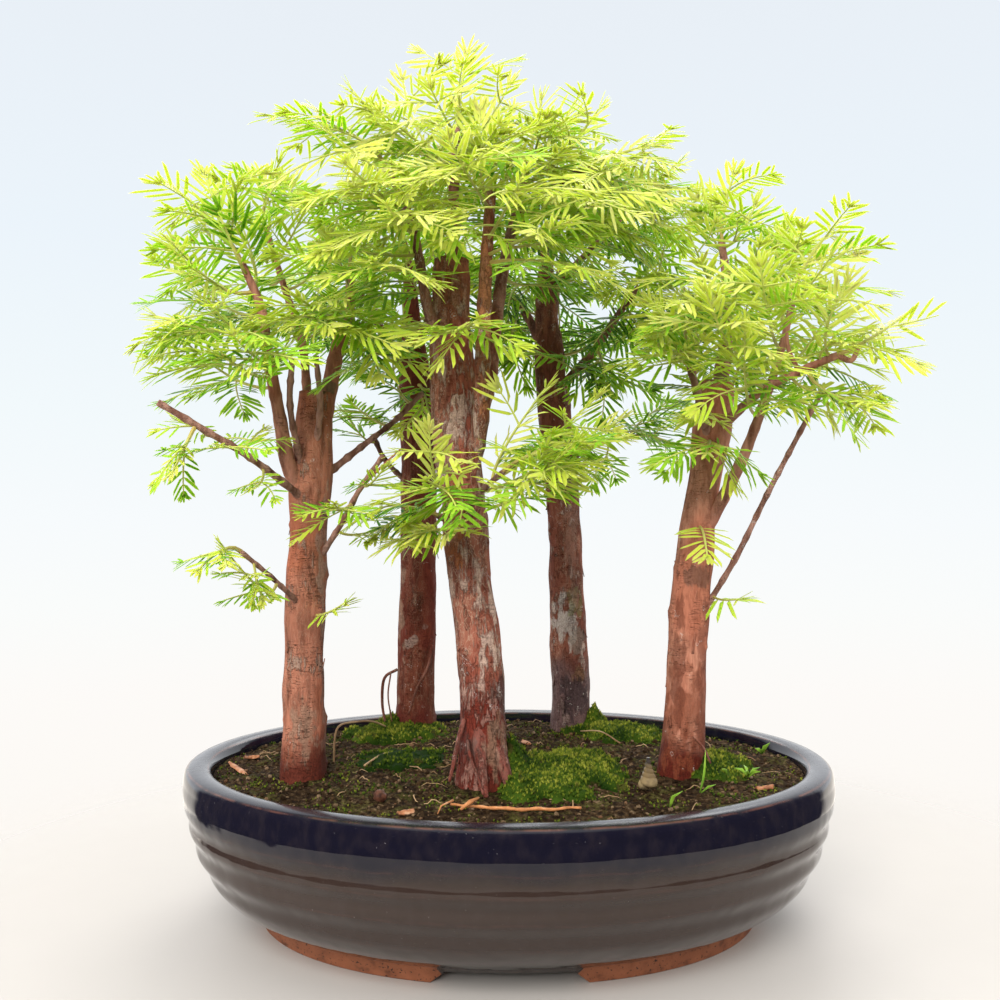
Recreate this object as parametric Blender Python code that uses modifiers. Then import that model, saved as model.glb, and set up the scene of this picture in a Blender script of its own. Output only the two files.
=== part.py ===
# Dawn redwood bonsai forest: five trees in soil and moss in a glazed oval pot.
# The tables below are in millimetres, measured from the pot's centre on the table top, +Z up
# and the viewer on the -Y side. The model is in metres.

import math
import random

import bmesh
import bpy
from mathutils import Matrix, Vector
from mathutils.kdtree import KDTree

MM = 0.001
GAP = 0.3                  # clearance between two pieces that touch

# Pot: an oval whose rim is 264 by 203, drawn as a turned form moved apart along X
RIM_HALF_LENGTH = 132.0
RIM_HALF_WIDTH = 101.5
STRETCH = RIM_HALF_LENGTH - RIM_HALF_WIDTH
POT_STEPS = 32
POT_HEIGHT = 64.0
FLOOR_TOP = 12.0
FLOOR_UNDERSIDE = 4.5
FOOT_HEIGHT = 6.0
FOOT_OUTSIDE = 30.8        # inset of the foot ring's outer and inner edge on the ground
FOOT_INSIDE = 45.0
FRONT_FOOT_GAP = 46.0      # between the feet at the front and the back
SIDE_FOOT_GAP = 34.0       # between the feet at the two ends
FOOT_GAP_TAPER = 0.8       # top of a gap's cutter against its foot
RIM_MIDDLE = 5.0           # inset of the rim's crest
DRAIN_RADIUS = 7.0
DRAIN_OFFSET = 45.0

# Outer wall as (height, inset from the rim's oval): lip, then four soft throwing ridges
OUTER_WALL = [
    (62.4, 0.4), (56.0, -0.9), (48.5, -0.2), (44.5, 1.4), (40.5, 1.5), (36.0, 3.7),
    (31.0, 4.4), (25.5, 8.0), (20.0, 10.4), (13.0, 17.4), (FOOT_HEIGHT, 29.2),
]
INNER_WALL = [(FLOOR_TOP, 38.0), (20.0, 19.5), (38.0, 12.2), (62.8, 10.0)]

# Soil: a low dome inside the rim
SOIL_EDGE_HEIGHT = 59.2
SOIL_DOME = 3.8
SOIL_HALF_LENGTH = 121.5
SOIL_HALF_WIDTH = 91.0
SOIL_RINGS = [28.0, 62.0]
SOIL_GAP = GAP + 0.1       # to the pot's wall, whose facets cut across its curve

SCREEN_SIDE = 24.0
SCREEN_THICKNESS = 1.0
SCREEN_CELLS = 3

# Trunks as (x, y, z, radius). The first two points stand in a plain hole in the soil.
# Branches are (name, points, first radius, last radius, sides); roots are alike.
TREES = {
    "left": {
        "trunk": [
            (-81, -25, 44, 8.6), (-81, -25, 62, 8.9), (-81, -25, 75, 8.4), (-81, -25, 111, 7.6),
            (-80, -24, 146, 7.1), (-79, -24, 170, 6.9), (-78, -24, 190, 6.6), (-77, -23, 213, 6.4),
        ],
        "branches": [
            ("leader", [(-80, -25, 168), (-86, -32, 184), (-88, -38, 201), (-91, -42, 221),
                        (-94, -44, 242), (-101, -44, 259)], 3.3, 1.3, 6),
            ("inner", [(-76, -23, 192), (-72, -20, 216), (-69, -18, 233), (-65, -16, 244),
                       (-66, -8, 266)], 3.8, 1.5, 6),
            ("middle", [(-80, -22, 200), (-85, -10, 234), (-94, -2, 259), (-104, 4, 288)],
             1.9, 1.1, 4),
            ("pruned_left", [(-80, -28, 170), (-95, -55, 185), (-108, -68, 194),
                             (-122, -76, 203)], 1.4, 1.1, 4),
            ("low", [(-80, -25, 126), (-89, -44, 140), (-98, -58, 151)], 1.0, 0.8, 4),
            ("right", [(-80, -24, 140), (-66, -30, 160), (-57, -40, 174), (-47, -50, 186)],
             1.2, 0.9, 4),
            ("right_back", [(-78, -24, 176), (-61, -10, 192), (-48, 0, 204), (-37, 10, 217)],
             1.4, 0.9, 4),
            ("stub_front", [(-80, -27, 176), (-84, -38, 204), (-83, -40, 224)], 1.3, 1.1, 4),
            ("stub_right", [(-77, -26, 186), (-73, -36, 206), (-74, -40, 225)], 1.2, 1.0, 4),
        ],
        "roots": [],
    },
    "back_left": {
        "trunk": [
            (-45, 66, 44, 9.4), (-45, 66, 62, 9.6), (-44, 66, 99, 9.0), (-43, 65, 143, 8.6),
            (-43, 64, 181, 8.3), (-44, 63, 220, 8.0), (-46, 61, 254, 4.6), (-48, 61, 283, 2.6),
            (-52, 61, 305, 1.4),
        ],
        "branches": [
            ("outer", [(-44, 63, 226), (-62, 70, 256), (-74, 76, 277)], 2.6, 1.3, 6),
            ("back", [(-45, 62, 240), (-38, 76, 266), (-33, 84, 286)], 2.2, 1.2, 4),
            ("stub", [(-44, 64, 176), (-58, 58, 190), (-64, 56, 202)], 1.3, 1.1, 4),
        ],
        "roots": [],
    },
    "centre": {
        "trunk": [
            (-10, -38, 44, 9.8), (-10, -38, 62, 10.6), (-10, -38, 76, 9.2), (-10, -37, 93, 8.6),
            (-12, -36, 116, 8.5), (-14, -35, 131, 8.2), (-16, -34, 147, 7.9), (-18, -33, 170, 7.9),
            (-21, -32, 193, 8.5), (-22, -30, 217, 8.5), (-23, -28, 241, 7.4), (-23, -26, 265, 6.6),
        ],
        "branches": [
            ("leader", [(-23, -26, 256), (-22, -22, 295), (-21, -18, 321)], 2.8, 1.2, 6),
            ("front_right", [(-16, -34, 176), (-11, -42, 200), (-10, -44, 228), (-9, -42, 257),
                             (-7, -39, 288)], 3.5, 2.0, 6),
            ("inner_right", [(-15, -30, 188), (-8, -23, 218), (-4, -19, 251), (0, -14, 276),
                             (6, -8, 299), (9, -5, 315)], 3.2, 1.2, 6),
            ("outer_right", [(0, -14, 278), (18, -15, 298), (34, -18, 306)], 1.6, 1.1, 4),
            ("left", [(-23, -31, 222), (-31, -38, 243), (-34, -41, 260), (-38, -44, 278),
                      (-47, -43, 297)], 2.3, 1.2, 6),
            ("low_right", [(-17, -34, 158), (-13, -48, 170), (-2, -60, 180)], 1.3, 0.9, 4),
            ("low_left", [(-16, -34, 158), (-27, -44, 164)], 1.5, 1.1, 4),
        ],
        "roots": [
            ("left", [(-14, -41, 84), (-19, -46, 74), (-22, -52)], 1.6, 1.1, 4),
            ("front", [(-9, -43, 78), (-9, -51, 69), (-8, -59)], 3.0, 1.3, 6),
        ],
    },
    "back_right": {
        "trunk": [
            (31, 66, 44, 9.2), (31, 66, 62, 9.4), (30, 66, 99, 8.9), (29, 66, 128, 8.3),
            (27, 65, 172, 7.6), (24, 64, 206, 7.9), (21, 63, 235, 6.4), (19, 62, 269, 4.6),
            (20, 62, 298, 2.6), (26, 64, 318, 1.4),
        ],
        "branches": [
            ("left", [(19, 62, 240), (10, 68, 262), (0, 73, 274)], 2.6, 1.4, 6),
            ("outer", [(22, 62, 222), (40, 58, 241), (51, 52, 257), (62, 47, 272)], 2.4, 1.4, 6),
            ("upper", [(19, 62, 270), (38, 58, 290), (56, 52, 306)], 1.9, 1.2, 4),
            ("back", [(21, 63, 246), (25, 78, 276), (27, 85, 294)], 1.9, 1.2, 4),
            ("low_right", [(28, 65, 190), (45, 60, 199), (60, 54, 202)], 1.3, 0.9, 4),
        ],
        "roots": [],
    },
    "right": {
        "trunk": [
            (68, -22, 44, 8.6), (68, -22, 62, 8.8), (70, -22, 83, 8.0), (71, -22, 110, 7.6),
            (73, -21, 134, 7.5), (76, -20, 162, 6.4), (80, -19, 186, 6.2), (83, -18, 208, 7.0),
            (84, -18, 218, 6.8),
        ],
        "branches": [
            ("leader", [(84, -16, 204), (88, -10, 222), (92, -5, 250), (90, -2, 280)],
             3.9, 1.4, 6),
            ("side", [(76, -20, 152), (89, -28, 180), (94, -32, 193), (99, -36, 209),
                      (104, -40, 227), (110, -40, 252)], 2.6, 1.1, 6),
            ("pruned_right", [(84, -20, 198), (96, -38, 211), (109, -46, 218),
                              (121, -54, 223)], 1.8, 1.3, 4),
            ("bare", [(73, -21, 118), (89, -26, 146), (99, -34, 170), (107, -42, 189),
                      (115, -51, 208)], 1.2, 0.9, 4),
            ("stub_left", [(81, -20, 192), (73, -36, 210), (68, -41, 225)], 1.7, 1.2, 4),
        ],
        "roots": [],
    },
}

# Leafy stems: (tree, branch, place along the branch's points, tip). A place on the last point
# carries on from the branch's end; any other one grows from the branch's side.
LEAFY_STEMS = [
    ("left", "leader", 5, (-133, -40, 293)),
    ("left", "leader", 4.4, (-127, -54, 269)),
    ("left", "leader", 3.6, (-139, -46, 241)),
    ("left", "leader", 2.8, (-104, -78, 220)),
    ("left", "middle", 3, (-93, 0, 319)),
    ("left", "middle", 2.2, (-118, 28, 275)),
    ("left", "inner", 4, (-60, 16, 302)),
    ("left", "inner", 2.7, (-47, -40, 214)),
    ("left", "inner", 2.3, (-76, -72, 243)),
    ("left", "pruned_left", 2.2, (-116, -86, 174)),
    ("left", "low", 2, (-112, -76, 140)),
    ("left", "right", 1.6, (-62, -70, 168)),
    ("back_left", "trunk", 8, (-60, 77, 334)),
    ("back_left", "outer", 2, (-95, 86, 300)),
    ("back_left", "outer", 1.3, (-92, 40, 272)),
    ("back_left", "back", 2, (-20, 99, 310)),
    ("back_left", "trunk", 5.2, (-34, 30, 206)),
    ("centre", "leader", 2, (-16, -16, 358)),
    ("centre", "leader", 1.4, (-65, -30, 338)),
    ("centre", "left", 4, (-88, -38, 320)),
    ("centre", "leader", 1.2, (-28, 26, 332)),
    ("centre", "front_right", 4, (-22, -98, 272)),
    ("centre", "inner_right", 5, (14, -8, 346)),
    ("centre", "inner_right", 4.2, (40, -30, 331)),
    ("centre", "outer_right", 2, (66, -22, 317)),
    ("centre", "front_right", 3.1, (38, -76, 246)),
    ("centre", "trunk", 9.6, (-10, -80, 233)),
    ("centre", "low_right", 2, (46, -68, 190)),
    ("centre", "low_right", 1.1, (-30, -80, 179)),
    ("centre", "low_left", 1, (-46, -66, 152)),
    ("back_right", "trunk", 9, (47, 77, 341)),
    ("back_right", "upper", 2, (86, 42, 334)),
    ("back_right", "left", 2, (-8, 52, 300)),
    ("back_right", "back", 2, (50, 102, 312)),
    ("back_right", "outer", 1.2, (44, 30, 217)),
    ("back_right", "low_right", 2, (84, 60, 196)),
    ("right", "leader", 3, (98, -6, 312)),
    ("right", "leader", 2.5, (129, -16, 278)),
    ("right", "leader", 2.2, (104, 36, 272)),
    ("right", "side", 5, (128, -42, 276)),
    ("right", "pruned_right", 3, (152, -42, 243)),
    ("right", "pruned_right", 2.2, (138, -62, 202)),
    ("right", "stub_left", 2, (72, -86, 240)),
    ("right", "trunk", 6.3, (72, -60, 186)),
]

STEM_RADIUS = 0.75
STEM_SIDES = 4
STEM_BEND = 0.35           # how far the stem keeps its first direction, as a share of its reach
RIB_WIDTH = 1.3
BLADE_THICKNESS = 0.7
NEEDLE_LENGTH = 12.5
NEEDLE_PITCH = 4.0
PETIOLE = 3.0
TERMINAL_NEEDLE = 7.0
TOP_PAIRS = 7
SIDE_PAIRS = 4
NEEDLE_SWEEP = math.radians(27)
NEEDLE_DROOP = 0.12
NEEDLE_SAMPLES = (0.25, 0.5, 0.75, 1.0)
SIDE_FROND_ANGLE = math.radians(52)
FROND_SAG = 120.0          # a side frond sinks by its length squared over this
LEAF_CLEARANCE = 2.7
OWN_CLEARANCE = 1.7
WOOD_CLEARANCE = 1.5
SOIL_CLEARANCE = 9.0
WIDEST_WOOD = 11.0
TRIES = 400                # arrangements tried for each leafy stem
STRICT_TRIES = 300         # of these, the ones whose own two fronds must lie apart

# Moss cushions: (name, x, y, half length, half width, turn in degrees, height)
MOSS = [
    ("moss_centre", 20, -28, 34, 26, 62, 5.5),
    ("moss_left", -44, -4, 21, 17, 10, 1.8),
    ("moss_right", 84, -12, 25, 14, 80, 3.6),
    ("moss_back_left", -52, 50, 25, 20, 25, 4.0),
    ("moss_back_right", 52, 50, 25, 18, -20, 4.6),
]
MOSS_STEPS = 12
MOSS_EDGE = 0.9
REST_GAP = GAP + 0.15      # under what lies on the soil, whose facets cut across its dome
TRUNK_SIDES = 10
HOLE_SIDES = 14

SHELL_PLACE = (52, -46)
SHELL_RADIUS = 3.3
SHELL_LENGTH = 11.0
TWIG_PLACES = [(-21, -67), (-4, -71), (10, -72), (25, -70)]
TWIG_RADIUS = 0.9


def clear_scene():
    for item in list(bpy.data.objects):
        bpy.data.objects.remove(item)


def new_collection(name):
    made = bpy.data.collections.new(name)
    bpy.context.scene.collection.children.link(made)
    return made


def material(name, colour, roughness, metallic=0.0):
    made = bpy.data.materials.new(name)
    made.use_nodes = True
    shader = made.node_tree.nodes["Principled BSDF"]
    shader.inputs["Base Color"].default_value = (*colour, 1.0)
    shader.inputs["Roughness"].default_value = roughness
    shader.inputs["Metallic"].default_value = metallic
    return made


def add_object(name, data, collection, finish=None):
    made = bpy.data.objects.new(name, data)
    collection.objects.link(made)
    if finish:
        made.data.materials.clear()
        made.data.materials.append(finish)
    return made


def applied(item):
    # The object's modifiers, made real
    depsgraph = bpy.context.evaluated_depsgraph_get()
    mesh = bpy.data.meshes.new_from_object(item.evaluated_get(depsgraph))
    item.modifiers.clear()
    item.data = mesh
    return item


def as_cutter(item):
    item.hide_render = True
    item.display_type = "WIRE"
    return item


def cut(item, cutter):
    step = item.modifiers.new("cut", "BOOLEAN")
    step.operation = "DIFFERENCE"
    step.object = cutter


def weld(mesh):
    bm = bmesh.new()
    bm.from_mesh(mesh)
    bmesh.ops.remove_doubles(bm, verts=bm.verts, dist=0.000005)
    bmesh.ops.dissolve_degenerate(bm, edges=bm.edges, dist=0.000005)
    bm.to_mesh(mesh)
    bm.free()


def is_closed(mesh):
    bm = bmesh.new()
    bm.from_mesh(mesh)
    closed = all(len(edge.link_faces) == 2 and edge.calc_length() > 1e-8 for edge in bm.edges)
    bm.free()
    return closed


def stretched(x, y):
    # A point of the turned form, moved apart along X so that circles become ovals
    distance = math.hypot(x, y)
    return x + STRETCH * MM * x / distance if distance > 1e-6 else x


def turned(name, profile, steps, collection, finish):
    # A solid turned round Z from (radius, height) pairs in millimetres, outside top to bottom
    mesh = bpy.data.meshes.new(name)
    bm = bmesh.new()
    points = [bm.verts.new((radius * MM, 0.0, height * MM)) for radius, height in profile]
    for first, second in zip(points, points[1:]):
        bm.edges.new((first, second))
    bm.to_mesh(mesh)
    bm.free()
    made = add_object(name, mesh, collection, finish)
    screw = made.modifiers.new("turn", "SCREW")
    screw.axis = "Z"
    screw.steps = steps
    screw.render_steps = steps
    screw.use_merge_vertices = True
    screw.merge_threshold = 0.00001
    applied(made)
    weld(made.data)
    return made


def cylinder(name, x, y, radius, low, high, sides, collection):
    mesh = bpy.data.meshes.new(name)
    bm = bmesh.new()
    place = Matrix.Translation(Vector((x, y, (low + high) / 2)) * MM)
    bmesh.ops.create_cone(bm, cap_ends=True, segments=sides, radius1=radius * MM,
                          radius2=radius * MM, depth=(high - low) * MM, matrix=place)
    bm.to_mesh(mesh)
    bm.free()
    return as_cutter(add_object(name, mesh, collection))


def block(name, size, place, collection, top_share=1.0):
    # A box; top_share narrows its top face
    mesh = bpy.data.meshes.new(name)
    bm = bmesh.new()
    bmesh.ops.create_cube(bm, size=1.0)
    for corner in bm.verts:
        share = top_share if corner.co.z > 0 else 1.0
        corner.co = Vector((corner.co.x * size[0] * share, corner.co.y * size[1] * share,
                            corner.co.z * size[2])) * MM + Vector(place) * MM
    bm.to_mesh(mesh)
    bm.free()
    return as_cutter(add_object(name, mesh, collection))


def ground(x, y):
    # Height of the soil's surface, in millimetres
    share = (x / SOIL_HALF_LENGTH) ** 2 + (y / SOIL_HALF_WIDTH) ** 2
    return SOIL_EDGE_HEIGHT + SOIL_DOME * (1.0 - min(share, 1.0))


def tube(name, points, radii, sides, collection, finish):
    # A closed tube along points, as a mesh
    curve = bpy.data.curves.new(name, "CURVE")
    curve.dimensions = "3D"
    curve.bevel_depth = MM
    curve.bevel_resolution = (sides - 4) // 2
    curve.use_fill_caps = True
    spline = curve.splines.new("POLY")
    spline.points.add(len(points) - 1)
    for point, place, radius in zip(spline.points, points, radii):
        point.co = (*(Vector(place) * MM), 1.0)
        point.radius = radius
    guide = add_object(name + "_guide", curve, collection)
    depsgraph = bpy.context.evaluated_depsgraph_get()
    mesh = bpy.data.meshes.new_from_object(guide.evaluated_get(depsgraph))
    bpy.data.objects.remove(guide)
    weld(mesh)
    return add_object(name, mesh, collection, finish)


def fused(pieces):
    # One union joins the pieces into the first one
    base, rest = pieces[0], pieces[1:]
    if not rest:
        return base
    group = new_collection(base.name + "_pieces")
    for piece in rest:
        group.objects.link(piece)
    union = base.modifiers.new("union", "BOOLEAN")
    union.operation = "UNION"
    union.operand_type = "COLLECTION"
    union.collection = group
    for solver in ("EXACT", "MANIFOLD"):
        union.solver = solver
        depsgraph = bpy.context.evaluated_depsgraph_get()
        mesh = bpy.data.meshes.new_from_object(base.evaluated_get(depsgraph))
        if is_closed(mesh):
            break
    base.modifiers.clear()
    base.data = mesh
    for piece in rest:
        bpy.data.objects.remove(piece)
    bpy.data.collections.remove(group)
    return base


def make_pot(parts, cutters):
    glaze = material("glaze", (0.012, 0.014, 0.032), 0.12)
    half = RIM_HALF_WIDTH
    profile = [(0.0, FLOOR_TOP)]
    profile += [(half - inset, height) for height, inset in INNER_WALL]
    profile += [(half - RIM_MIDDLE, POT_HEIGHT)]
    profile += [(half - inset, height) for height, inset in OUTER_WALL]
    profile += [(half - FOOT_OUTSIDE, 0.0), (half - FOOT_INSIDE, 0.0),
                (half - FOOT_INSIDE - 1.5, FLOOR_UNDERSIDE), (0.0, FLOOR_UNDERSIDE)]
    pot = turned("pot", profile, POT_STEPS, parts, glaze)
    for vertex in pot.data.vertices:
        vertex.co.x = stretched(vertex.co.x, vertex.co.y)
    depth = 2 * FLOOR_UNDERSIDE
    length = 2 * RIM_HALF_LENGTH
    cut(pot, block("front_foot_gap", (FRONT_FOOT_GAP, length, depth), (0, 0, 0), cutters,
                   FOOT_GAP_TAPER))
    cut(pot, block("side_foot_gap", (length, SIDE_FOOT_GAP, depth), (0, 0, 0), cutters,
                   FOOT_GAP_TAPER))
    for side in (-1, 1):
        cut(pot, cylinder("drain_hole", side * DRAIN_OFFSET, 0, DRAIN_RADIUS, 0.0,
                          2 * FLOOR_TOP, 12, cutters))
    return pot


def make_screens(parts):
    plastic = material("screen_plastic", (0.03, 0.03, 0.03), 0.5)
    for side, name in ((-1, "drain_screen_left"), (1, "drain_screen_right")):
        mesh = bpy.data.meshes.new(name)
        bm = bmesh.new()
        place = Vector((side * DRAIN_OFFSET, 0, FLOOR_TOP + GAP + SCREEN_THICKNESS / 2)) * MM
        bmesh.ops.create_grid(bm, x_segments=SCREEN_CELLS, y_segments=SCREEN_CELLS,
                              size=SCREEN_SIDE / 2 * MM, matrix=Matrix.Translation(place))
        bm.to_mesh(mesh)
        bm.free()
        screen = add_object(name, mesh, parts, plastic)
        lattice = screen.modifiers.new("lattice", "WIREFRAME")
        lattice.thickness = SCREEN_THICKNESS * MM
        lattice.use_even_offset = False
        lattice.use_boundary = True
        lattice.use_replace = True


def make_soil(parts, cutters, trunk_cutters):
    earth = material("earth", (0.035, 0.022, 0.013), 0.95)
    half = RIM_HALF_WIDTH
    rim_share = (SOIL_EDGE_HEIGHT - INNER_WALL[2][0]) / (INNER_WALL[3][0] - INNER_WALL[2][0])
    edge_inset = INNER_WALL[2][1] + (INNER_WALL[3][1] - INNER_WALL[2][1]) * rim_share
    profile = [(0.0, SOIL_EDGE_HEIGHT)]
    profile += [(radius, SOIL_EDGE_HEIGHT) for radius in SOIL_RINGS]
    profile += [(half - edge_inset - SOIL_GAP, SOIL_EDGE_HEIGHT)]
    profile += [(half - inset - SOIL_GAP, height) for height, inset in INNER_WALL[2:0:-1]]
    profile += [(half - INNER_WALL[0][1] - 3 * SOIL_GAP, FLOOR_TOP + GAP),
                (0.0, FLOOR_TOP + GAP)]
    soil = turned("soil", profile, POT_STEPS, parts, earth)
    for vertex in soil.data.vertices:
        vertex.co.x = stretched(vertex.co.x, vertex.co.y)
        if vertex.co.z > (SOIL_EDGE_HEIGHT - 0.5) * MM:
            vertex.co.z = ground(vertex.co.x / MM, vertex.co.y / MM) * MM
    for cutter in trunk_cutters:
        cut(soil, cutter)
    pocket = SCREEN_SIDE + SCREEN_THICKNESS + 2 * SOIL_GAP
    height = 2 * (SCREEN_THICKNESS + 2 * GAP)
    for side in (-1, 1):
        cut(soil, block("screen_pocket", (pocket, pocket, height),
                        (side * DRAIN_OFFSET, 0, FLOOR_TOP + GAP), cutters))
    return soil


def make_moss(parts, trunk_cutters):
    green = material("moss", (0.10, 0.20, 0.02), 0.9)
    # Share of the cushion's radius and of its height, over the top and down the outer side
    outline = [(0.0, 1.0), (0.5, 0.8), (0.84, 0.38), (1.0, 0.0)]
    for name, x, y, half_length, half_width, turn, height in MOSS:
        profile = [(share * 10, 1 + rise) for share, rise in outline]
        profile += [(9.9, 0.0), (0.0, 0.0)]
        pad = turned(name, profile, MOSS_STEPS, parts, green)
        angle = math.radians(turn)
        for vertex in pad.data.vertices:
            along = vertex.co.x / MM / 10 * half_length
            across = vertex.co.y / MM / 10 * half_width
            wave = 1.0 + 0.09 * math.sin(3 * math.atan2(across, along) + x)
            along, across = along * wave, across * wave
            world_x = x + along * math.cos(angle) - across * math.sin(angle)
            world_y = y + along * math.sin(angle) + across * math.cos(angle)
            level = vertex.co.z / MM
            rise = MOSS_EDGE + (level - 1.0) * height if level > 0.5 else 0.0
            world_z = ground(world_x, world_y) + REST_GAP + rise
            vertex.co = Vector((world_x, world_y, world_z)) * MM
        for cutter in trunk_cutters:
            cut(pad, cutter)


def branch_radii(points, first, last):
    share = [index / (len(points) - 1) for index in range(len(points))]
    return [first + (last - first) * part for part in share]


def make_tree(name, tree, parts):
    bark = material("bark_" + name, (0.20, 0.075, 0.045), 0.75)
    places = [point[:3] for point in tree["trunk"]]
    radii = [point[3] for point in tree["trunk"]]
    pieces = [tube("tree_" + name, places, radii, TRUNK_SIDES, parts, bark)]
    for label, points, first, last, sides in tree["branches"]:
        radii = branch_radii(points, first, last)
        pieces.append(tube(name + "_" + label, points, radii, sides, parts, bark))
    for label, points, first, last, sides in tree["roots"]:
        end_x, end_y = points[-1]
        end = (end_x, end_y, ground(end_x, end_y) + last + 2 * GAP)
        points = points[:-1] + [end]
        radii = branch_radii(points, first, last)
        pieces.append(tube(name + "_root_" + label, points, radii, sides, parts, bark))
    return fused(pieces)


def branch_points(tree, branch):
    # A branch's points and radii; "trunk" names the trunk itself
    if branch == "trunk":
        trunk = TREES[tree]["trunk"]
        return [Vector(point[:3]) for point in trunk], [point[3] for point in trunk]
    for label, points, first, last, sides in TREES[tree]["branches"]:
        if label == branch:
            return [Vector(point) for point in points], branch_radii(points, first, last)
    return [], []


def stem_start(tree, branch, place, tip):
    # Where a leafy stem leaves its branch, and its first direction
    points, radii = branch_points(tree, branch)
    last = len(points) - 1
    if place >= last:
        direction = (points[last] - points[last - 1]).normalized()
        return points[last] + direction * GAP, direction
    index = int(place)
    share = place - index
    middle = points[index].lerp(points[index + 1], share)
    radius = radii[index] + (radii[index + 1] - radii[index]) * share
    along = (points[index + 1] - points[index]).normalized()
    out = Vector(tip) - middle
    out = (out - along * out.dot(along)).normalized()
    return middle + out * (radius + GAP), out


def stem_path(start, out, tip, steps=20):
    # A quadratic curve from the start, along its first direction, to the tip
    bend = start + out * (STEM_BEND * (tip - start).length)
    path = []
    for index in range(steps + 1):
        t = index / steps
        path.append(start * (1 - t) ** 2 + bend * (2 * t * (1 - t)) + tip * t ** 2)
    return path


def along_path(path, distance):
    # The point and the direction at a distance along a path
    for first, second in zip(path, path[1:]):
        step = (second - first).length
        if distance <= step or second is path[-1]:
            return first + (second - first) * (distance / step), (second - first).normalized()
        distance -= step
    return path[-1], (path[-1] - path[-2]).normalized()


def path_length(path):
    return sum((second - first).length for first, second in zip(path, path[1:]))


def frond_normal(direction, roll):
    # Fronds lie nearly level; the small lean towards the front settles upright ones
    level = Vector((0.0, -0.35, 1.0))
    normal = (level - direction * level.dot(direction)).normalized()
    return Matrix.Rotation(roll, 3, direction) @ normal


def top_frond(path, roll, pairs):
    # The frond that ends a leafy stem: stations along its rib, each (point, direction, normal)
    length = path_length(path)
    end = length - TERMINAL_NEEDLE
    places = [end - NEEDLE_PITCH * pairs - PETIOLE]
    places += [end - NEEDLE_PITCH * (pairs - index) for index in range(pairs + 1)]
    stations = []
    for place in places:
        point, direction = along_path(path, place)
        stations.append((point, direction, frond_normal(direction, roll)))
    return stations


def side_frond(path, place, roll, side, lift, pairs):
    # A frond that leaves the stem sideways and droops a little
    start, direction = along_path(path, place)
    normal = frond_normal(direction, roll)
    across = normal.cross(direction) * side
    heading = direction * math.cos(SIDE_FROND_ANGLE) + across * math.sin(SIDE_FROND_ANGLE)
    heading = (heading + normal * lift).normalized()
    stations = []
    places = [0.0] + [PETIOLE + NEEDLE_PITCH * index for index in range(pairs + 1)]
    for place in places:
        point = start + heading * place - normal * (place * place / FROND_SAG)
        stations.append((point, heading, normal))
    return stations


def needle_length(index, pairs):
    # Needles are longest in the middle of a frond
    share = (index + 0.5) / pairs
    return NEEDLE_LENGTH * (0.62 + 0.38 * math.sin(math.pi * (0.12 + 0.78 * share)))


def needle_tips(stations):
    # Root and tip of every needle, with the pair's place and the side that it is on
    pairs = len(stations) - 2
    for index in range(pairs):
        root = (stations[index + 1][0] + stations[index + 2][0]) / 2
        direction, normal = stations[index + 1][1:]
        across = normal.cross(direction)
        length = needle_length(index, pairs)
        for side in (-1, 1):
            heading = across * (side * math.cos(NEEDLE_SWEEP)) + direction * math.sin(NEEDLE_SWEEP)
            yield index, side, root, root + (heading - normal * NEEDLE_DROOP) * length
    point, direction = stations[-1][:2]
    yield pairs, 0, point, point + direction * TERMINAL_NEEDLE


def wood_samples():
    # Points along every trunk and branch, with the radius there
    samples = []
    for tree, pieces in TREES.items():
        for branch in ["trunk"] + [entry[0] for entry in pieces["branches"]]:
            points, radii = branch_points(tree, branch)
            for index in range(len(points) - 1):
                span = (points[index + 1] - points[index]).length
                steps = max(1, int(span / 2.0))
                for step in range(steps + 1):
                    share = step / steps
                    radius = radii[index] + (radii[index + 1] - radii[index]) * share
                    samples.append((points[index].lerp(points[index + 1], share), radius))
    return samples


def leaf_samples(path, fronds):
    # Points along a leafy stem, its ribs and its needles
    samples = [path[index] for index in range(2, len(path), 2)]
    for stations in fronds:
        samples += [point for point, direction, normal in stations[1:]]
        for index, side, root, tip in needle_tips(stations):
            samples += [root.lerp(tip, share) for share in NEEDLE_SAMPLES]
    return samples


def tree_of_points(points):
    lookup = KDTree(len(points))
    for index, point in enumerate(points):
        lookup.insert(point, index)
    lookup.balance()
    return lookup


def fronds_apart(fronds):
    # Whether the needles of the second frond keep clear of those of the first
    first, second = [[root.lerp(tip, share) for index, side, root, tip in needle_tips(stations)
                      for share in NEEDLE_SAMPLES] for stations in fronds]
    lookup = tree_of_points(first)
    return min(lookup.find(point)[2] for point in second) > OWN_CLEARANCE


def is_clear(samples, wood, wood_lookup, leaves_lookup):
    for index, point in enumerate(samples):
        if point.z < ground(point.x, point.y) + SOIL_CLEARANCE:
            return False
        if leaves_lookup and leaves_lookup.find(point)[2] < LEAF_CLEARANCE:
            return False
        if index < 2:
            continue
        reach = WIDEST_WOOD + WOOD_CLEARANCE
        for place, found, distance in wood_lookup.find_range(point, reach):
            if distance < wood[found][1] + WOOD_CLEARANCE:
                return False
    return True


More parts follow.
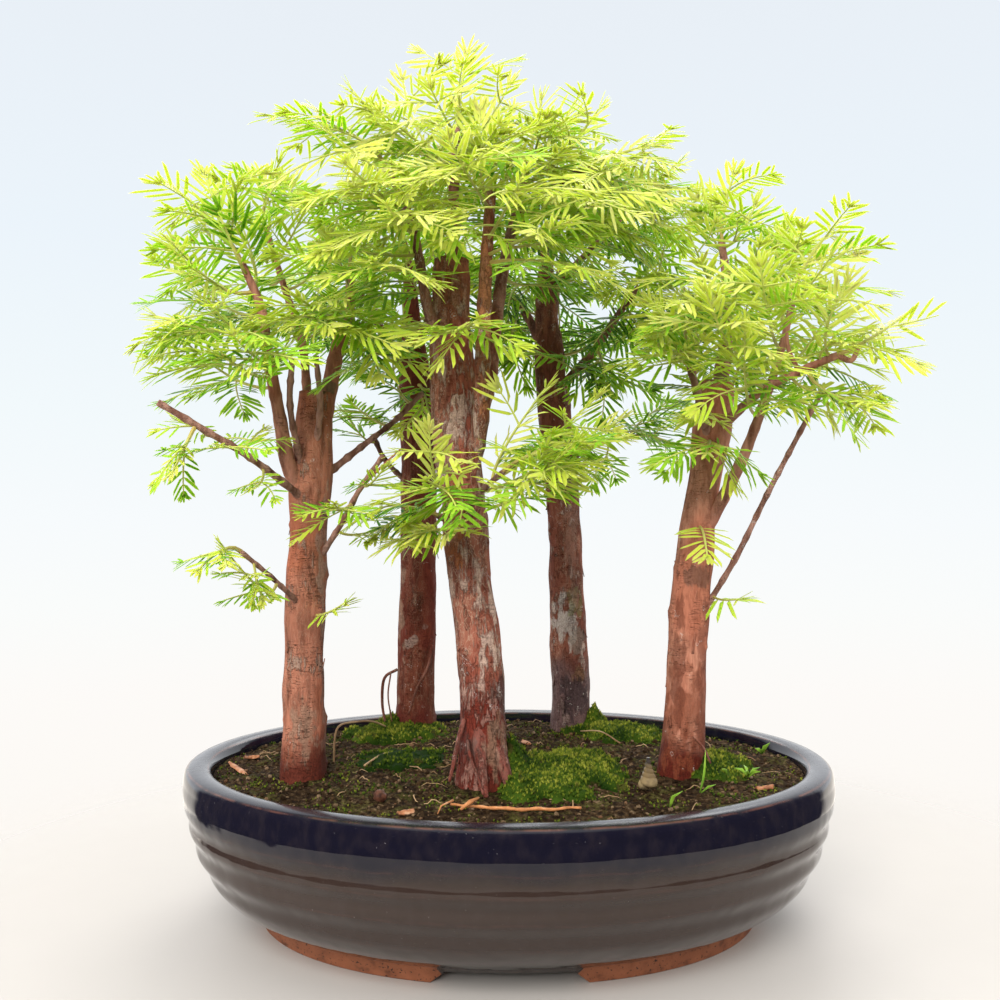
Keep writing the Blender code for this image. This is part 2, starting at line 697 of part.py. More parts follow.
def grow(number, entry, wood, wood_lookup, leaves):
    # The first arrangement of a leafy stem that is clear of the wood and of earlier stems
    tree, branch, place, tip = entry
    draw = random.Random(number)
    leaves_lookup = tree_of_points(leaves) if leaves else None
    start, out = stem_start(tree, branch, place, tip)
    for attempt in range(TRIES):
        spread = 2.0 + attempt * 0.05
        moved = Vector(tip) + Vector([draw.uniform(-spread, spread) for axis in range(3)])
        roll = math.radians(draw.uniform(-20 - attempt * 0.2, 20 + attempt * 0.2))
        side = draw.choice((-1, 1))
        lift = draw.uniform(-0.7, 0.7)
        share = draw.uniform(0.1, 0.4)
        path = stem_path(start, out, moved)
        length = path_length(path)
        room = length - TERMINAL_NEEDLE - PETIOLE - 4.0
        pairs = min(TOP_PAIRS, int(room / NEEDLE_PITCH))
        fronds = [top_frond(path, roll, pairs),
                  side_frond(path, length * share, roll, side, lift, SIDE_PAIRS)]
        if attempt < STRICT_TRIES and not fronds_apart(fronds):
            continue
        samples = leaf_samples(path, fronds)
        if is_clear(samples, wood, wood_lookup, leaves_lookup):
            return path, fronds, samples
    print("no clear place for leafy stem", number, tree, branch)
    return path, fronds, samples


def make_frond(name, stations, parts, finish):
    # A strip of faces along the rib, with needles drawn out of its edges, thickened
    pairs = len(stations) - 2
    mesh = bpy.data.meshes.new(name)
    bm = bmesh.new()
    bmesh.ops.create_grid(bm, x_segments=pairs + 1, y_segments=1, size=1.0)
    home = {}
    for vertex in bm.verts:
        index = round((vertex.co.x + 1) / 2 * (pairs + 1))
        side = 1 if vertex.co.y > 0 else -1
        home[(index, side)] = vertex
    for (index, side), vertex in home.items():
        point, direction, normal = stations[index]
        across = normal.cross(direction)
        vertex.co = (point + across * (side * RIB_WIDTH / 2)) * MM
    for index, side, root, tip in list(needle_tips(stations)):
        ends = (home[(index + 1, side)], home[(index + 2, side)]) if side else \
            (home[(pairs + 1, -1)], home[(pairs + 1, 1)])
        edge = bm.edges.get(ends)
        drawn = bmesh.ops.extrude_edge_only(bm, edges=[edge])["geom"]
        corners = [item for item in drawn if isinstance(item, bmesh.types.BMVert)]
        bmesh.ops.pointmerge(bm, verts=corners, merge_co=tip * MM)
    bmesh.ops.recalc_face_normals(bm, faces=bm.faces)
    bmesh.ops.triangulate(bm, faces=bm.faces)
    bm.to_mesh(mesh)
    bm.free()
    frond = add_object(name, mesh, parts, finish)
    blade = frond.modifiers.new("blade", "SOLIDIFY")
    blade.thickness = BLADE_THICKNESS * MM
    blade.offset = 0.0
    return applied(frond)


def make_leafy_stem(name, path, fronds, parts, finish):
    # The stem runs a little way under its top frond, whose rib carries on from it
    reach = path_length(path) - TERMINAL_NEEDLE - NEEDLE_PITCH * (len(fronds[0]) - 2) - 1.0
    places = [reach * share for share in (0.0, 0.25, 0.6, 1.0)]
    points = [along_path(path, place)[0] for place in places]
    radii = [STEM_RADIUS] * len(points)
    pieces = [tube(name, points, radii, STEM_SIDES, parts, finish)]
    pieces += [make_frond(name + "_frond", stations, parts, finish) for stations in fronds]
    return fused(pieces)


def make_foliage(parts):
    young = material("young_needles", (0.42, 0.60, 0.06), 0.5)
    deep = material("deep_needles", (0.16, 0.36, 0.05), 0.5)
    wood = wood_samples()
    wood_lookup = tree_of_points([point for point, radius in wood])
    leaves = []
    counts = {}
    for number, entry in enumerate(LEAFY_STEMS):
        path, fronds, samples = grow(number, entry, wood, wood_lookup, leaves)
        leaves += samples
        tree = entry[0]
        counts[tree] = counts.get(tree, 0) + 1
        name = "leafy_stem_" + tree + "_" + str(counts[tree])
        finish = deep if tree.startswith("back") else young
        make_leafy_stem(name, path, fronds, parts, finish)


def make_litter(parts):
    shell_x, shell_y = SHELL_PLACE
    horn = material("snail_shell", (0.36, 0.27, 0.17), 0.25)
    mesh = bpy.data.meshes.new("snail_shell")
    bm = bmesh.new()
    bmesh.ops.create_uvsphere(bm, u_segments=8, v_segments=5, radius=MM)
    low = ground(shell_x, shell_y) + REST_GAP
    for vertex in bm.verts:
        rise = vertex.co.z / MM
        slim = 1.0 - 0.45 * max(rise, 0.0)
        vertex.co = Vector((vertex.co.x * SHELL_RADIUS * slim + shell_x * MM,
                            vertex.co.y * SHELL_RADIUS * slim + shell_y * MM,
                            (low + (rise + 1) / 2 * SHELL_LENGTH) * MM))
    bm.to_mesh(mesh)
    bm.free()
    add_object("snail_shell", mesh, parts, horn)
    orange = material("dry_twig", (0.45, 0.20, 0.08), 0.7)
    points = [(x, y, ground(x, y) + REST_GAP + TWIG_RADIUS) for x, y in TWIG_PLACES]
    tube("fallen_twig", points, [TWIG_RADIUS * share for share in (0.7, 1.0, 1.0, 0.8)], 4,
         parts, orange)


def trunk_holes(cutters):
    # One plain hole for each trunk, a little wider than what stands in it
    holes = []
    for name, tree in TREES.items():
        x, y, low = tree["trunk"][0][:3]
        radius = max(point[3] for point in tree["trunk"][:2]) + GAP
        corner = radius / math.cos(math.pi / HOLE_SIDES)
        holes.append(cylinder("hole_" + name, x, y, corner, low - GAP, 2 * POT_HEIGHT,
                              HOLE_SIDES, cutters))
    return holes


def stand_on_centre(parts):
    # Move everything so that the middle of the whole model's footprint is the origin
    depsgraph = bpy.context.evaluated_depsgraph_get()
    corners = []
    for item in parts.objects:
        shape = item.evaluated_get(depsgraph)
        corners += [shape.matrix_world @ vertex.co for vertex in shape.data.vertices]
    middle = [(min(c[axis] for c in corners) + max(c[axis] for c in corners)) / 2
              for axis in range(2)]
    lowest = min(corner.z for corner in corners)
    shift = Vector((-middle[0], -middle[1], -lowest))
    print("shift in millimetres", [round(value / MM, 3) for value in shift])
    return shift


def main():
    clear_scene()
    parts = new_collection("dawn_redwood_bonsai_forest")
    cutters = new_collection("cutters")
    holes = trunk_holes(cutters)
    make_pot(parts, cutters)
    make_screens(parts)
    make_soil(parts, cutters, holes)
    make_moss(parts, holes)
    for name, tree in TREES.items():
        make_tree(name, tree, parts)
    make_foliage(parts)
    make_litter(parts)
    shift = stand_on_centre(parts)
    for item in list(parts.objects) + list(cutters.objects):
        item.location += shift
    for item in parts.objects:
        item.data.shade_smooth()
        item.data.set_sharp_from_angle(angle=math.radians(40))


main()
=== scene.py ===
import math
import random
from functools import reduce

import bmesh
import bpy
import numpy as np
from mathutils import Matrix, Vector, noise
from mathutils.kdtree import KDTree


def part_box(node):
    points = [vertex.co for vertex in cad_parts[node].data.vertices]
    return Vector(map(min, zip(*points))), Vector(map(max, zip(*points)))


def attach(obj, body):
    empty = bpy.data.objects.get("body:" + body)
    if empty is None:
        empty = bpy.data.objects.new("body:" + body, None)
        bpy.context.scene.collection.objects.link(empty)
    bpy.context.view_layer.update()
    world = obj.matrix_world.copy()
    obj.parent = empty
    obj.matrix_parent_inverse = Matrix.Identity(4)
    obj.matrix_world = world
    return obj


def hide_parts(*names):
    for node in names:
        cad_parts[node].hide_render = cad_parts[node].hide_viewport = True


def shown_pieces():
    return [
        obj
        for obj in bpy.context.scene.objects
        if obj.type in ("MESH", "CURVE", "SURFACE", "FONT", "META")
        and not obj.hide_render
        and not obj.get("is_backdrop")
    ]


# Everything is modelled in millimetres from the pot's centre on the floor, then set on the frame
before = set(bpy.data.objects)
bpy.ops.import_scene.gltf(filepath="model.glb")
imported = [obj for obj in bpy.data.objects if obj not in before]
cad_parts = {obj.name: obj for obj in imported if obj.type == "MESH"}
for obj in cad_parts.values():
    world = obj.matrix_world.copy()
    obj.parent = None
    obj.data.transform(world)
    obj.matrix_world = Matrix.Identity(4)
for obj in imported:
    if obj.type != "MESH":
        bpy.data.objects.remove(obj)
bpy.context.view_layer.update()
scene = bpy.context.scene
mm = 0.001
potLow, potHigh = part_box("pot")
potCentre = Vector(((potLow.x + potHigh.x) / 2, (potLow.y + potHigh.y) / 2, 0.0))
toWorld = Matrix.Translation(potCentre) @ Matrix.Scale(mm, 4)
up = Vector((0.0, 0.0, 1.0))
print("frame loaded,", len(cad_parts), "nodes")


# Camera, lights, floor
studio = {
    "lens": 36.0, "pitch": 1.04, "cameraPlace": (-3.5, -421.6, 162.9),
    "floorColour": (0.465, 0.43, 0.39), "floorRadius": 1.2, "floorFade": (0.175, 0.36),
    "mirrorEdge": 0.235,
    "seen": [(0.0, (0.982, 0.915, 0.83)), (0.20, (0.982, 0.945, 0.895)), (0.34, (0.982, 0.960, 0.935)),
             (0.42, (0.957, 0.972, 0.965)), (0.50, (0.930, 0.962, 0.980)),
             (0.60, (0.888, 0.947, 0.973)), (0.76, (0.835, 0.905, 0.965)), (1.0, (0.805, 0.855, 0.915))],
    "roomHigh": (0.93, 0.96, 1.0), "roomLow": (0.90, 0.84, 0.76), "roomDark": (0.035, 0.035, 0.045),
    "roomStrength": 1.78,
    "lights": [  # name, place, height aimed at, size, watts
        ("keyLight", (-0.30, -1.15, 0.85), 0.2, 0.9, 26.0),
        ("leftLight", (-1.1, -0.35, 0.55), 0.18, 0.7, 6.0),
        ("rightLight", (1.1, -0.25, 0.5), 0.18, 0.7, 6.0),
        ("backLight", (0.15, 0.85, 1.1), 0.25, 0.8, 8.0),
    ],
}


def makeStudio(values):
    camera = addObject("camera", bpy.data.cameras.new("camera"), toWorld @ Vector(values["cameraPlace"]))
    camera.data.lens = values["lens"]
    camera.data.sensor_width = 36.0
    camera.rotation_euler = (math.radians(90.0 + values["pitch"]), 0.0, 0.0)
    scene.camera = camera
    for name, place, height, size, watts in values["lights"]:
        light = addObject(name, bpy.data.lights.new(name, "AREA"), place)
        light.data.size = size
        light.data.energy = watts
        aim = Vector((0.0, 0.0, height)) - Vector(place)
        light.rotation_euler = aim.to_track_quat("-Z", "Y").to_euler()
        light.visible_glossy = name == "backLight"
    scene.view_settings.view_transform = "Standard"

    # The eye sees a pale wall all round; the room that lights and mirrors is dark at the front,
    # and the glaze mirrors the pale floor only as far as the table goes
    world = bpy.data.worlds.new("studioAir")
    world.use_nodes = True
    scene.world = world
    tree = world.node_tree
    direction = addNode(tree, "ShaderNodeTexCoord").outputs["Generated"]
    parts = joined("ShaderNodeSeparateXYZ", {0: direction}).outputs
    height = remap(parts["Z"], -0.5, 0.5)
    seen = ramp(height, values["seen"])
    room = ramp(height, [(0.48, values["roomLow"]), (0.56, values["roomHigh"]),
                         (1.0, shaded(values["roomHigh"], 0.80))])
    front = times(remap(parts["Y"], 0.3, -0.4, 0.35, 1.0, "SMOOTHSTEP"), mask(parts["Z"], -0.55, -0.42),
                  mask(parts["Z"], 0.74, 0.50))
    sharp = times(mask(parts["Y"], 0.60, 0.46), mask(parts["Z"], 0.97, 0.78))
    rays = addNode(tree, "ShaderNodeLightPath").outputs
    front = remap(rays["Is Glossy Ray"], 0.0, 1.0, front, sharp)
    room = blend(front, room, values["roomDark"])
    eye = rays["Is Camera Ray"]
    background = tree.nodes["Background"]
    tree.links.new(blend(eye, room, seen), background.inputs["Color"])
    tree.links.new(remap(eye, 0.0, 1.0, values["roomStrength"], 1.0), background.inputs["Strength"])

    bm = bmesh.new()
    bmesh.ops.create_circle(bm, cap_ends=True, segments=96, radius=values["floorRadius"])
    floor = addObject("floor", meshFrom(bm, "floor"))
    finish, tree, shader = newMaterial("paleFloor", 0.55)
    place = objectPlace(tree)
    away = vectorMaths("LENGTH", place).outputs["Value"]
    fade = remap(away, *values["floorFade"], 1.0, 0.0, "SMOOTHERSTEP")
    edge = mask(away, values["mirrorEdge"] + 0.010, values["mirrorEdge"] - 0.004)
    glossy = addNode(tree, "ShaderNodeLightPath").outputs["Is Glossy Ray"]
    tree.links.new(remap(glossy, 0.0, 1.0, fade, edge), shader.inputs["Alpha"])
    tooth = joined("ShaderNodeTexNoise", {0: place, "Scale": 60.0}).outputs[0]
    colour = values["floorColour"]
    tree.links.new(ramp(tooth, [(0.3, colour), (0.7, shaded(colour, 1.01))]), shader.inputs["Base Color"])
    floor.data.materials.append(finish)
    floor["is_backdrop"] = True


# Node helpers; a socket knows its tree, so only what starts from plain numbers is given one
def addNode(tree, kind, inputs=None, **settings):
    made = tree.nodes.new(kind)
    for key, value in settings.items():
        setattr(made, key, value)
    for key, value in (inputs or {}).items():
        if isinstance(value, bpy.types.NodeSocket):
            tree.links.new(value, made.inputs[key])
        else:
            made.inputs[key].default_value = value
    return made


def joined(kind, inputs, **settings):
    # A node in the tree of the sockets that feed it
    tree = next(value.id_data for value in inputs.values() if isinstance(value, bpy.types.NodeSocket))
    return addNode(tree, kind, inputs, **settings)


def newMaterial(name, roughness):
    made = bpy.data.materials.new(name)
    made.use_nodes = True
    shader = made.node_tree.nodes["Principled BSDF"]
    shader.inputs["Roughness"].default_value = roughness
    return made, made.node_tree, shader


def shaded(colour, share):
    return tuple(part * share for part in colour)


def ramp(source, stops):
    made = joined("ShaderNodeValToRGB", {0: source})
    elements = made.color_ramp.elements
    while len(elements) < len(stops):
        elements.new(0.5)
    for element, (place, colour) in zip(elements, stops):
        element.position = place
        element.color = (*colour, 1.0)
    return made.outputs["Color"]


def remap(source, low, high, first=0.0, last=1.0, kind="LINEAR"):
    return joined("ShaderNodeMapRange", {0: source, 1: low, 2: high, 3: first, 4: last},
                  interpolation_type=kind).outputs[0]


def mask(source, low, high):
    # 0 below low, 1 above high, smooth between
    return remap(source, low, high, kind="SMOOTHSTEP")


def blend(share, first, second, mode="MIX"):
    first, second = [(*value, 1.0) if isinstance(value, tuple) else value for value in (first, second)]
    return joined("ShaderNodeMix", {0: share, 6: first, 7: second}, data_type="RGBA",
                  blend_type=mode).outputs[2]


def maths(operation, *parts):
    # The parts in turn, the result so far with the next
    return reduce(lambda first, second: joined("ShaderNodeMath", {0: first, 1: second},
                                               operation=operation).outputs[0], parts)


def times(*parts):
    return maths("MULTIPLY", *parts)


def plus(*parts):
    return maths("ADD", *parts)


def minus(first, second):
    return maths("SUBTRACT", first, second)


def larger(*parts):
    return maths("MAXIMUM", *parts)


def apart(first, second):
    # How far two values lie apart, whichever is larger
    return maths("ABSOLUTE", minus(first, second), 0.0)


def vectorMaths(operation, first, second=(0.0, 0.0, 0.0)):
    return joined("ShaderNodeVectorMath", {0: first, 1: second}, operation=operation)


def objectPlace(tree):
    return addNode(tree, "ShaderNodeTexCoord").outputs["Object"]


def heightAbove(tree):
    # The height over the floor in millimetres
    return times(joined("ShaderNodeSeparateXYZ", {0: objectPlace(tree)}).outputs["Z"], 1000.0)


def toneOf(tree):
    return addNode(tree, "ShaderNodeAttribute", attribute_name="tone").outputs["Fac"]


def cover(shader, colour, height, strength, distance):
    # A surface's colour and its relief
    tree = shader.id_data
    tree.links.new(colour, shader.inputs["Base Color"])
    made = addNode(tree, "ShaderNodeBump", {"Height": height, "Strength": strength, "Distance": distance})
    tree.links.new(made.outputs["Normal"], shader.inputs["Normal"])


def makeNoiseGroup():
    # A stretched noise: one mask that several finishes use for fibres, grain and dust
    group = bpy.data.node_groups.new("stretchedGrain", "ShaderNodeTree")
    for name, value in (("Scale", 100.0), ("Stretch", 1.0), ("Detail", 3.0), ("Offset", 0.0)):
        socket = group.interface.new_socket(name, in_out="INPUT", socket_type="NodeSocketFloat")
        socket.default_value = value
    group.interface.new_socket("Mask", in_out="OUTPUT", socket_type="NodeSocketFloat")
    inside = addNode(group, "NodeGroupInput").outputs
    squeeze = maths("DIVIDE", 1.0, inside["Stretch"])
    factors = joined("ShaderNodeCombineXYZ", {0: 1.0, 1: 1.0, 2: squeeze}).outputs[0]
    shaped = vectorMaths("MULTIPLY", objectPlace(group), factors).outputs[0]
    moved = vectorMaths("ADD", shaped, inside["Offset"]).outputs[0]
    made = joined("ShaderNodeTexNoise", {0: moved, "Scale": inside["Scale"], "Detail": inside["Detail"]})
    outside = addNode(group, "NodeGroupOutput")
    group.links.new(made.outputs[0], outside.inputs["Mask"])
    return group


grainGroup = makeNoiseGroup()


def grain(tree, scale, stretch=1.0, detail=3.0, offset=0.0):
    inputs = {"Scale": scale, "Stretch": stretch, "Detail": detail, "Offset": offset}
    return addNode(tree, "ShaderNodeGroup", inputs, node_tree=grainGroup).outputs["Mask"]


# Object and mesh helpers
def addObject(name, data, place=(0.0, 0.0, 0.0)):
    made = bpy.data.objects.new(name, data)
    made.location = place
    scene.collection.objects.link(made)
    return made


def meshFrom(bm, name):
    mesh = bpy.data.meshes.new(name)
    bm.to_mesh(mesh)
    bm.free()
    return mesh


def makePiece(name, source, finishes, nodes=(), smooth=True):
    mesh = meshFrom(source, name) if isinstance(source, bmesh.types.BMesh) else source
    mesh.name = name
    mesh.transform(toWorld)
    for finish in finishes:
        mesh.materials.append(finish)
    if smooth:
        mesh.shade_smooth()
    piece = addObject(name, mesh)
    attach(piece, "root")
    if nodes:
        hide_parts(*nodes)


def meshPoints(mesh):
    points = np.zeros(len(mesh.vertices) * 3)
    mesh.vertices.foreach_get("co", points)
    return points.reshape(-1, 3)


def squared(vector, axis):
    # The part of a vector that stands square to an axis, as a direction
    return (vector - axis * vector.dot(axis)).normalized()


def headingAt(points, index):
    # Which way a line runs at one of its points
    first, last = points[max(index - 1, 0)], points[min(index + 1, len(points) - 1)]
    return (last - first).normalized()


def framesAlong(centres):
    # Sideways and upward directions that turn as little as they can along a line
    sides, tops = [], []
    guide = Vector((1.0, 0.0, 0.0))
    for index in range(len(centres)):
        forward = headingAt(centres, index)
        if abs(forward.dot(guide)) > 0.95:
            guide = Vector((0.0, 1.0, 0.0))
        guide = squared(guide, forward)
        sides.append(guide)
        tops.append(forward.cross(guide))
    return np.array(sides), np.array(tops)


def tubeMesh(centres, radii, sides):
    # A grid rolled round a line; the ends close to a point on the line
    centres = [centres[0]] + list(centres) + [centres[-1]]
    radii = np.array([0.0] + list(radii) + [0.0])
    bm = bmesh.new()
    bmesh.ops.create_grid(bm, x_segments=len(centres) - 1, y_segments=sides, size=1.0)
    mesh = bpy.data.meshes.new("tube")
    bm.to_mesh(mesh)
    flat = meshPoints(mesh)
    station = np.rint((flat[:, 0] + 1) / 2 * (len(centres) - 1)).astype(int)
    angle = (flat[:, 1] + 1) * math.pi
    across, above = framesAlong(centres)
    line = np.array([tuple(point) for point in centres])
    ring = across[station] * np.cos(angle)[:, None] + above[station] * np.sin(angle)[:, None]
    mesh.vertices.foreach_set("co", (line[station] + ring * radii[station][:, None]).ravel())
    bm.clear()
    bm.from_mesh(mesh)
    bmesh.ops.remove_doubles(bm, verts=bm.verts, dist=0.0005)
    bmesh.ops.recalc_face_normals(bm, faces=bm.faces)
    bm.to_mesh(mesh)
    bm.free()
    return mesh


def addTube(bm, points, radii, sides):
    bm.from_mesh(tubeMesh([Vector(point) for point in points], radii, sides))


class Scatter:
    # Many copies of one small shape, each with its origin, its own three axes, its tone and its
    # bend: how far the far end goes down and sideways
    def __init__(self):
        self.origins, self.axes, self.tones, self.bends = [], [], [], []

    def add(self, origin, axes, tone=0.0, bend=(0.0, 0.0)):
        self.origins.append(tuple(origin))
        self.axes.append([tuple(axis) for axis in axes])
        self.tones.append(tone)
        self.bends.append(bend)


def stampMesh(template, scatter):
    # One mesh with all the copies of the template
    bm = bmesh.new()
    for _ in scatter.origins:
        bm.from_mesh(template, face_normals=False, vertex_normals=False)
    mesh = meshFrom(bm, "stamped")
    shapes = np.repeat(meshPoints(template)[None], len(scatter.origins), 0)
    curve, bends = shapes[:, :, 0] ** 2, np.array(scatter.bends)
    shapes[:, :, 2] -= bends[:, 0, None] * curve
    shapes[:, :, 1] += bends[:, 1, None] * curve
    shapes = np.einsum("nvk,nkd->nvd", shapes, np.array(scatter.axes))
    mesh.vertices.foreach_set("co", (np.array(scatter.origins)[:, None, :] + shapes).ravel())
    return mesh


def setTone(mesh, tones):
    attribute = mesh.attributes.new("tone", "FLOAT", "POINT")
    attribute.data.foreach_set("value", np.array(tones, dtype=np.float32))


def taper(first, last, count):
    # Evenly changing radii
    return [first + (last - first) * index / (count - 1) for index in range(count)]


def smoothLine(points, step):
    # A curve through the points (Vectors or tuples of equal size), sampled about every step
    points = [np.array(point, dtype=float) for point in points]
    padded = [2 * points[0] - points[1]] + points + [2 * points[-1] - points[-2]]
    line = []
    for index in range(len(points) - 1):
        a, b, c, d = padded[index:index + 4]
        steps = max(1, round(float(np.linalg.norm((c - b)[:3])) / step))
        for part in range(steps):
            t = part / steps
            line.append(0.5 * (2 * b + (c - a) * t + (2 * a - 5 * b + 4 * c - d) * t * t
                               + (3 * b - a - 3 * c + d) * t ** 3))
    line.append(points[-1])
    return np.array(line)


def turnedAxes(draw, size, squash):
    # Three random axes for a stamped grain
    turn = Matrix.Rotation(draw.uniform(0, math.tau), 3, "Z") @ Matrix.Rotation(
        draw.uniform(0, math.tau), 3, "X")
    return turn.col[0] * size, turn.col[1] * size * draw.uniform(0.6, 1.0), turn.col[2] * size * squash


def outwards(angle):
    # A level direction
    return Vector((math.cos(angle), math.sin(angle), 0.0))


def thicken(bm, thickness):
    bmesh.ops.solidify(bm, geom=bm.faces[:], thickness=thickness)
    bmesh.ops.recalc_face_normals(bm, faces=bm.faces)


def spun(profile, steps, gap):
    # A profile of (radius, height) turned round the middle
    bm = bmesh.new()
    points = [bm.verts.new((radius, 0.0, z)) for radius, z in profile]
    edges = [bm.edges.new(pair) for pair in zip(points, points[1:])]
    bmesh.ops.spin(bm, geom=points + edges, axis=(0, 0, 1), cent=(0, 0, 0), steps=steps,
                   angle=math.tau, use_merge=True)
    bmesh.ops.remove_doubles(bm, verts=bm.verts, dist=gap)
    return bm


# The pot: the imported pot's profile, drawn finer
pot = {
    "halfLength": 132.0, "halfWidth": 101.5, "wall": 11.0, "roundWithin": 60.0, "steps": 224,
    "floorTop": 12.0, "floorUnder": 4.5,
    "outer": [(63.7, 2.2), (62.6, 0.5), (60.5, -0.5), (56.0, -0.9), (52.0, -0.7), (48.5, -0.2),
              (44.5, 1.4), (40.5, 1.5), (36.0, 3.7), (31.0, 4.4), (25.5, 8.0), (20.0, 10.4),
              (13.0, 17.4), (6.0, 29.2)],
    "inner": [(12.0, 38.0), (20.0, 19.5), (38.0, 12.2), (60.0, 10.6), (62.4, 9.8), (63.6, 8.2),
              (64.0, 5.2)],
    "footOuter": 30.8, "footInner": 45.0, "frontGap": 23.0, "sideGap": 17.0, "gapSlope": 4.5,
    "drainRadius": 7.0,
    "glazeTop": (0.0055, 0.0048, 0.011), "glazeLowAndReflection": (0.033, 0.020, 0.015),
    "glazeEdge": (0.105, 0.042, 0.030), "clay": (0.300, 0.106, 0.050), "clayDark": (0.10, 0.038, 0.022),
    "thinEdges": [  # where an edge comes through the glaze: height, half width, strength, wander
        (63.1, 0.42, 0.9, 0.05), (48.6, 0.8, 0.16, 0.3), (40.6, 0.8, 0.15, 0.3),
        (31.0, 0.9, 0.15, 0.3), (20.0, 1.1, 0.15, 0.3)],
}
ovalStretch = pot["halfLength"] - pot["halfWidth"]


def drawOut(place):
    # Draws a round form out to the pot's oval; the distance from its middle comes back
    distance = max(math.hypot(place.x, place.y), 0.001)
    place.x += ovalStretch * min(distance / pot["roundWithin"], 1.0) * place.x / distance
    return distance


def makeGlaze(values):
    made, tree, shader = newMaterial("blueBlackGlaze", 0.07)
    height = heightAbove(tree)
    wave = times(minus(grain(tree, 55.0, 1.0, 4.0), 0.5), 9.0)
    # Lower down the glaze is lighter and browner: partly its own colour, partly a painted reflection of
    # the floor
    body = ramp(mask(plus(height, wave), 14.0, 62.0), [
        (0.0, values["glazeLowAndReflection"]), (0.70, values["glazeLowAndReflection"]), (0.88, values["glazeTop"]),
        (1.0, values["glazeTop"])])
    # Fine speckles and cloudy runs in the glaze
    mottle = mask(grain(tree, 240.0, 1.6, 6.0, 3.0), 0.38, 0.78)
    body = blend(times(mottle, 0.18), body, (0.050, 0.036, 0.034))
    for edge, width, strength, wander in values["thinEdges"]:
        line = mask(apart(plus(height, times(wave, wander)), edge), width, 0.0)
        broken = times(mask(grain(tree, 130.0, 1.0, 5.0, edge), 0.30, 0.62), strength)
        body = blend(times(line, broken), body, values["glazeEdge"])
    dust = mask(grain(tree, 1500.0, 1.0, 2.0, 9.0), 0.755, 0.80)
    scratch = mask(grain(tree, 420.0, 0.05, 3.0, 12.0), 0.745, 0.78)
    marks = larger(times(dust, 0.40), times(scratch, 0.16))
    body = blend(marks, body, (0.55, 0.52, 0.50))
    clay = ramp(grain(tree, 220.0, 1.0, 6.0, 1.0), [
        (0.25, values["clayDark"]), (0.45, values["clay"]), (0.75, shaded(values["clay"], 1.25))])
    clay = blend(mask(grain(tree, 900.0, 1.0, 3.0, 5.0), 0.62, 0.68), clay, (0.02, 0.015, 0.015))
    # Between the feet the glaze runs down to the edge
    along = joined("ShaderNodeSeparateXYZ", {0: objectPlace(tree)}).outputs["X"]
    between = minus(1.0, mask(apart(along, potCentre.x), 0.022, 0.027))
    edge = plus(height, times(grain(tree, 130.0, 1.0, 5.0, 7.0), 3.4), times(between, 4.5))
    glazed = mask(edge, 8.3, 8.9)
    bare = times(minus(1.0, glazed), 0.75)
    dull = plus(times(mottle, 0.05), 0.045, marks, times(mask(height, 61.5, 63.0), 0.20), bare)
    tree.links.new(dull, shader.inputs["Roughness"])
    rough = times(grain(tree, 1500.0, 1.0, 4.0), bare)
    wavy = times(mask(height, 59.0, 53.0), 11.0)  # the rim is smooth
    relief = plus(times(grain(tree, 90.0, 1.0, 2.0), 0.5), rough,
                  times(grain(tree, 23.0, 1.0, 3.0, 4.0), wavy))
    cover(shader, blend(glazed, clay, body), relief, 0.35, 0.0006)
    return made


def makePot(values):
    half = values["halfWidth"]
    inner = [(half - inset, z) for z, inset in smoothLine(values["inner"], 2.0)]
    outer = [(half - inset, z) for z, inset in smoothLine(values["outer"], 1.1)]
    under, slope = values["floorUnder"], values["gapSlope"]
    footOut, footIn = half - values["footOuter"], half - values["footInner"]
    foot = [(footOut + 0.25, 0.5), (footOut - 0.2, 0.0), (footIn + 0.3, 0.0), (footIn - 0.3, 0.5),
            (footIn - 1.5, under), (values["drainRadius"], under)]
    drain = (values["drainRadius"], values["floorTop"])
    bm = spun([drain] + inner + outer + foot + [drain], values["steps"], 0.001)
    for vertex in bm.verts:
        place = vertex.co
        distance = drawOut(place)
        # The ring under the pot is cut away between the feet, with sloping ends
        if place.z < under - 0.01 and distance > 50.0:
            sideways = values["sideGap"] - abs(place.y) if abs(place.x) > 60 else -99.0
            clear = (max(values["frontGap"] - abs(place.x), sideways) + slope) / slope
            if abs(place.x) < 60 or abs(place.y) < 40:
                place.z += (under - place.z) * min(max(clear, 0.0), 1.0)
        if distance > values["roundWithin"] and place.z > under:
            sway = noise.noise(Vector((place.x, place.y, place.z * 2)) / 55.0) * 0.35
            place.x += sway * place.x / distance
            place.y += sway * place.y / distance
    bmesh.ops.recalc_face_normals(bm, faces=bm.faces)
    makePiece("glazed_pot", bm, [makeGlaze(values)], ["pot"])


# The soil
soil = {
    "edge": 59.2, "dome": 3.8, "halfLength": 121.5, "halfWidth": 91.0, "rings": 78, "steps": 240,
    "top": 58.0, "bottom": 14.5, "insets": [(12.7, 38.0), (19.9, 20.0), (38.6, 14.5)],
    "grains": 5600, "seed": 11, "spread": (122, 92), "grainSize": (0.32, 0.85),
    "dark": (0.013, 0.0068, 0.0036), "brown": (0.058, 0.033, 0.015), "light": (0.19, 0.125, 0.07),
}


def ground(x, y):
    share = (x / soil["halfLength"]) ** 2 + (y / soil["halfWidth"]) ** 2
    return soil["edge"] + soil["dome"] * (1.0 - min(share, 1.0))


def soilHeight(x, y):
    place = Vector((x, y, 0.0))
    coarse = noise.noise(place / 17.0) * 1.4
    fine = noise.noise(place / 3.6 + Vector((9, 4, 2))) * 1.3
    return ground(x, y) + coarse + fine + noise.noise(place / 1.4) * 0.5 - 0.2


def insideSoil(x, y, margin):
    # Whether a point lies at least a margin inside the pot's inner wall
    reach = pot["halfWidth"] - pot["wall"] + ovalStretch * abs(math.cos(math.atan2(y, x)))
    return math.hypot(x, y) < reach - margin


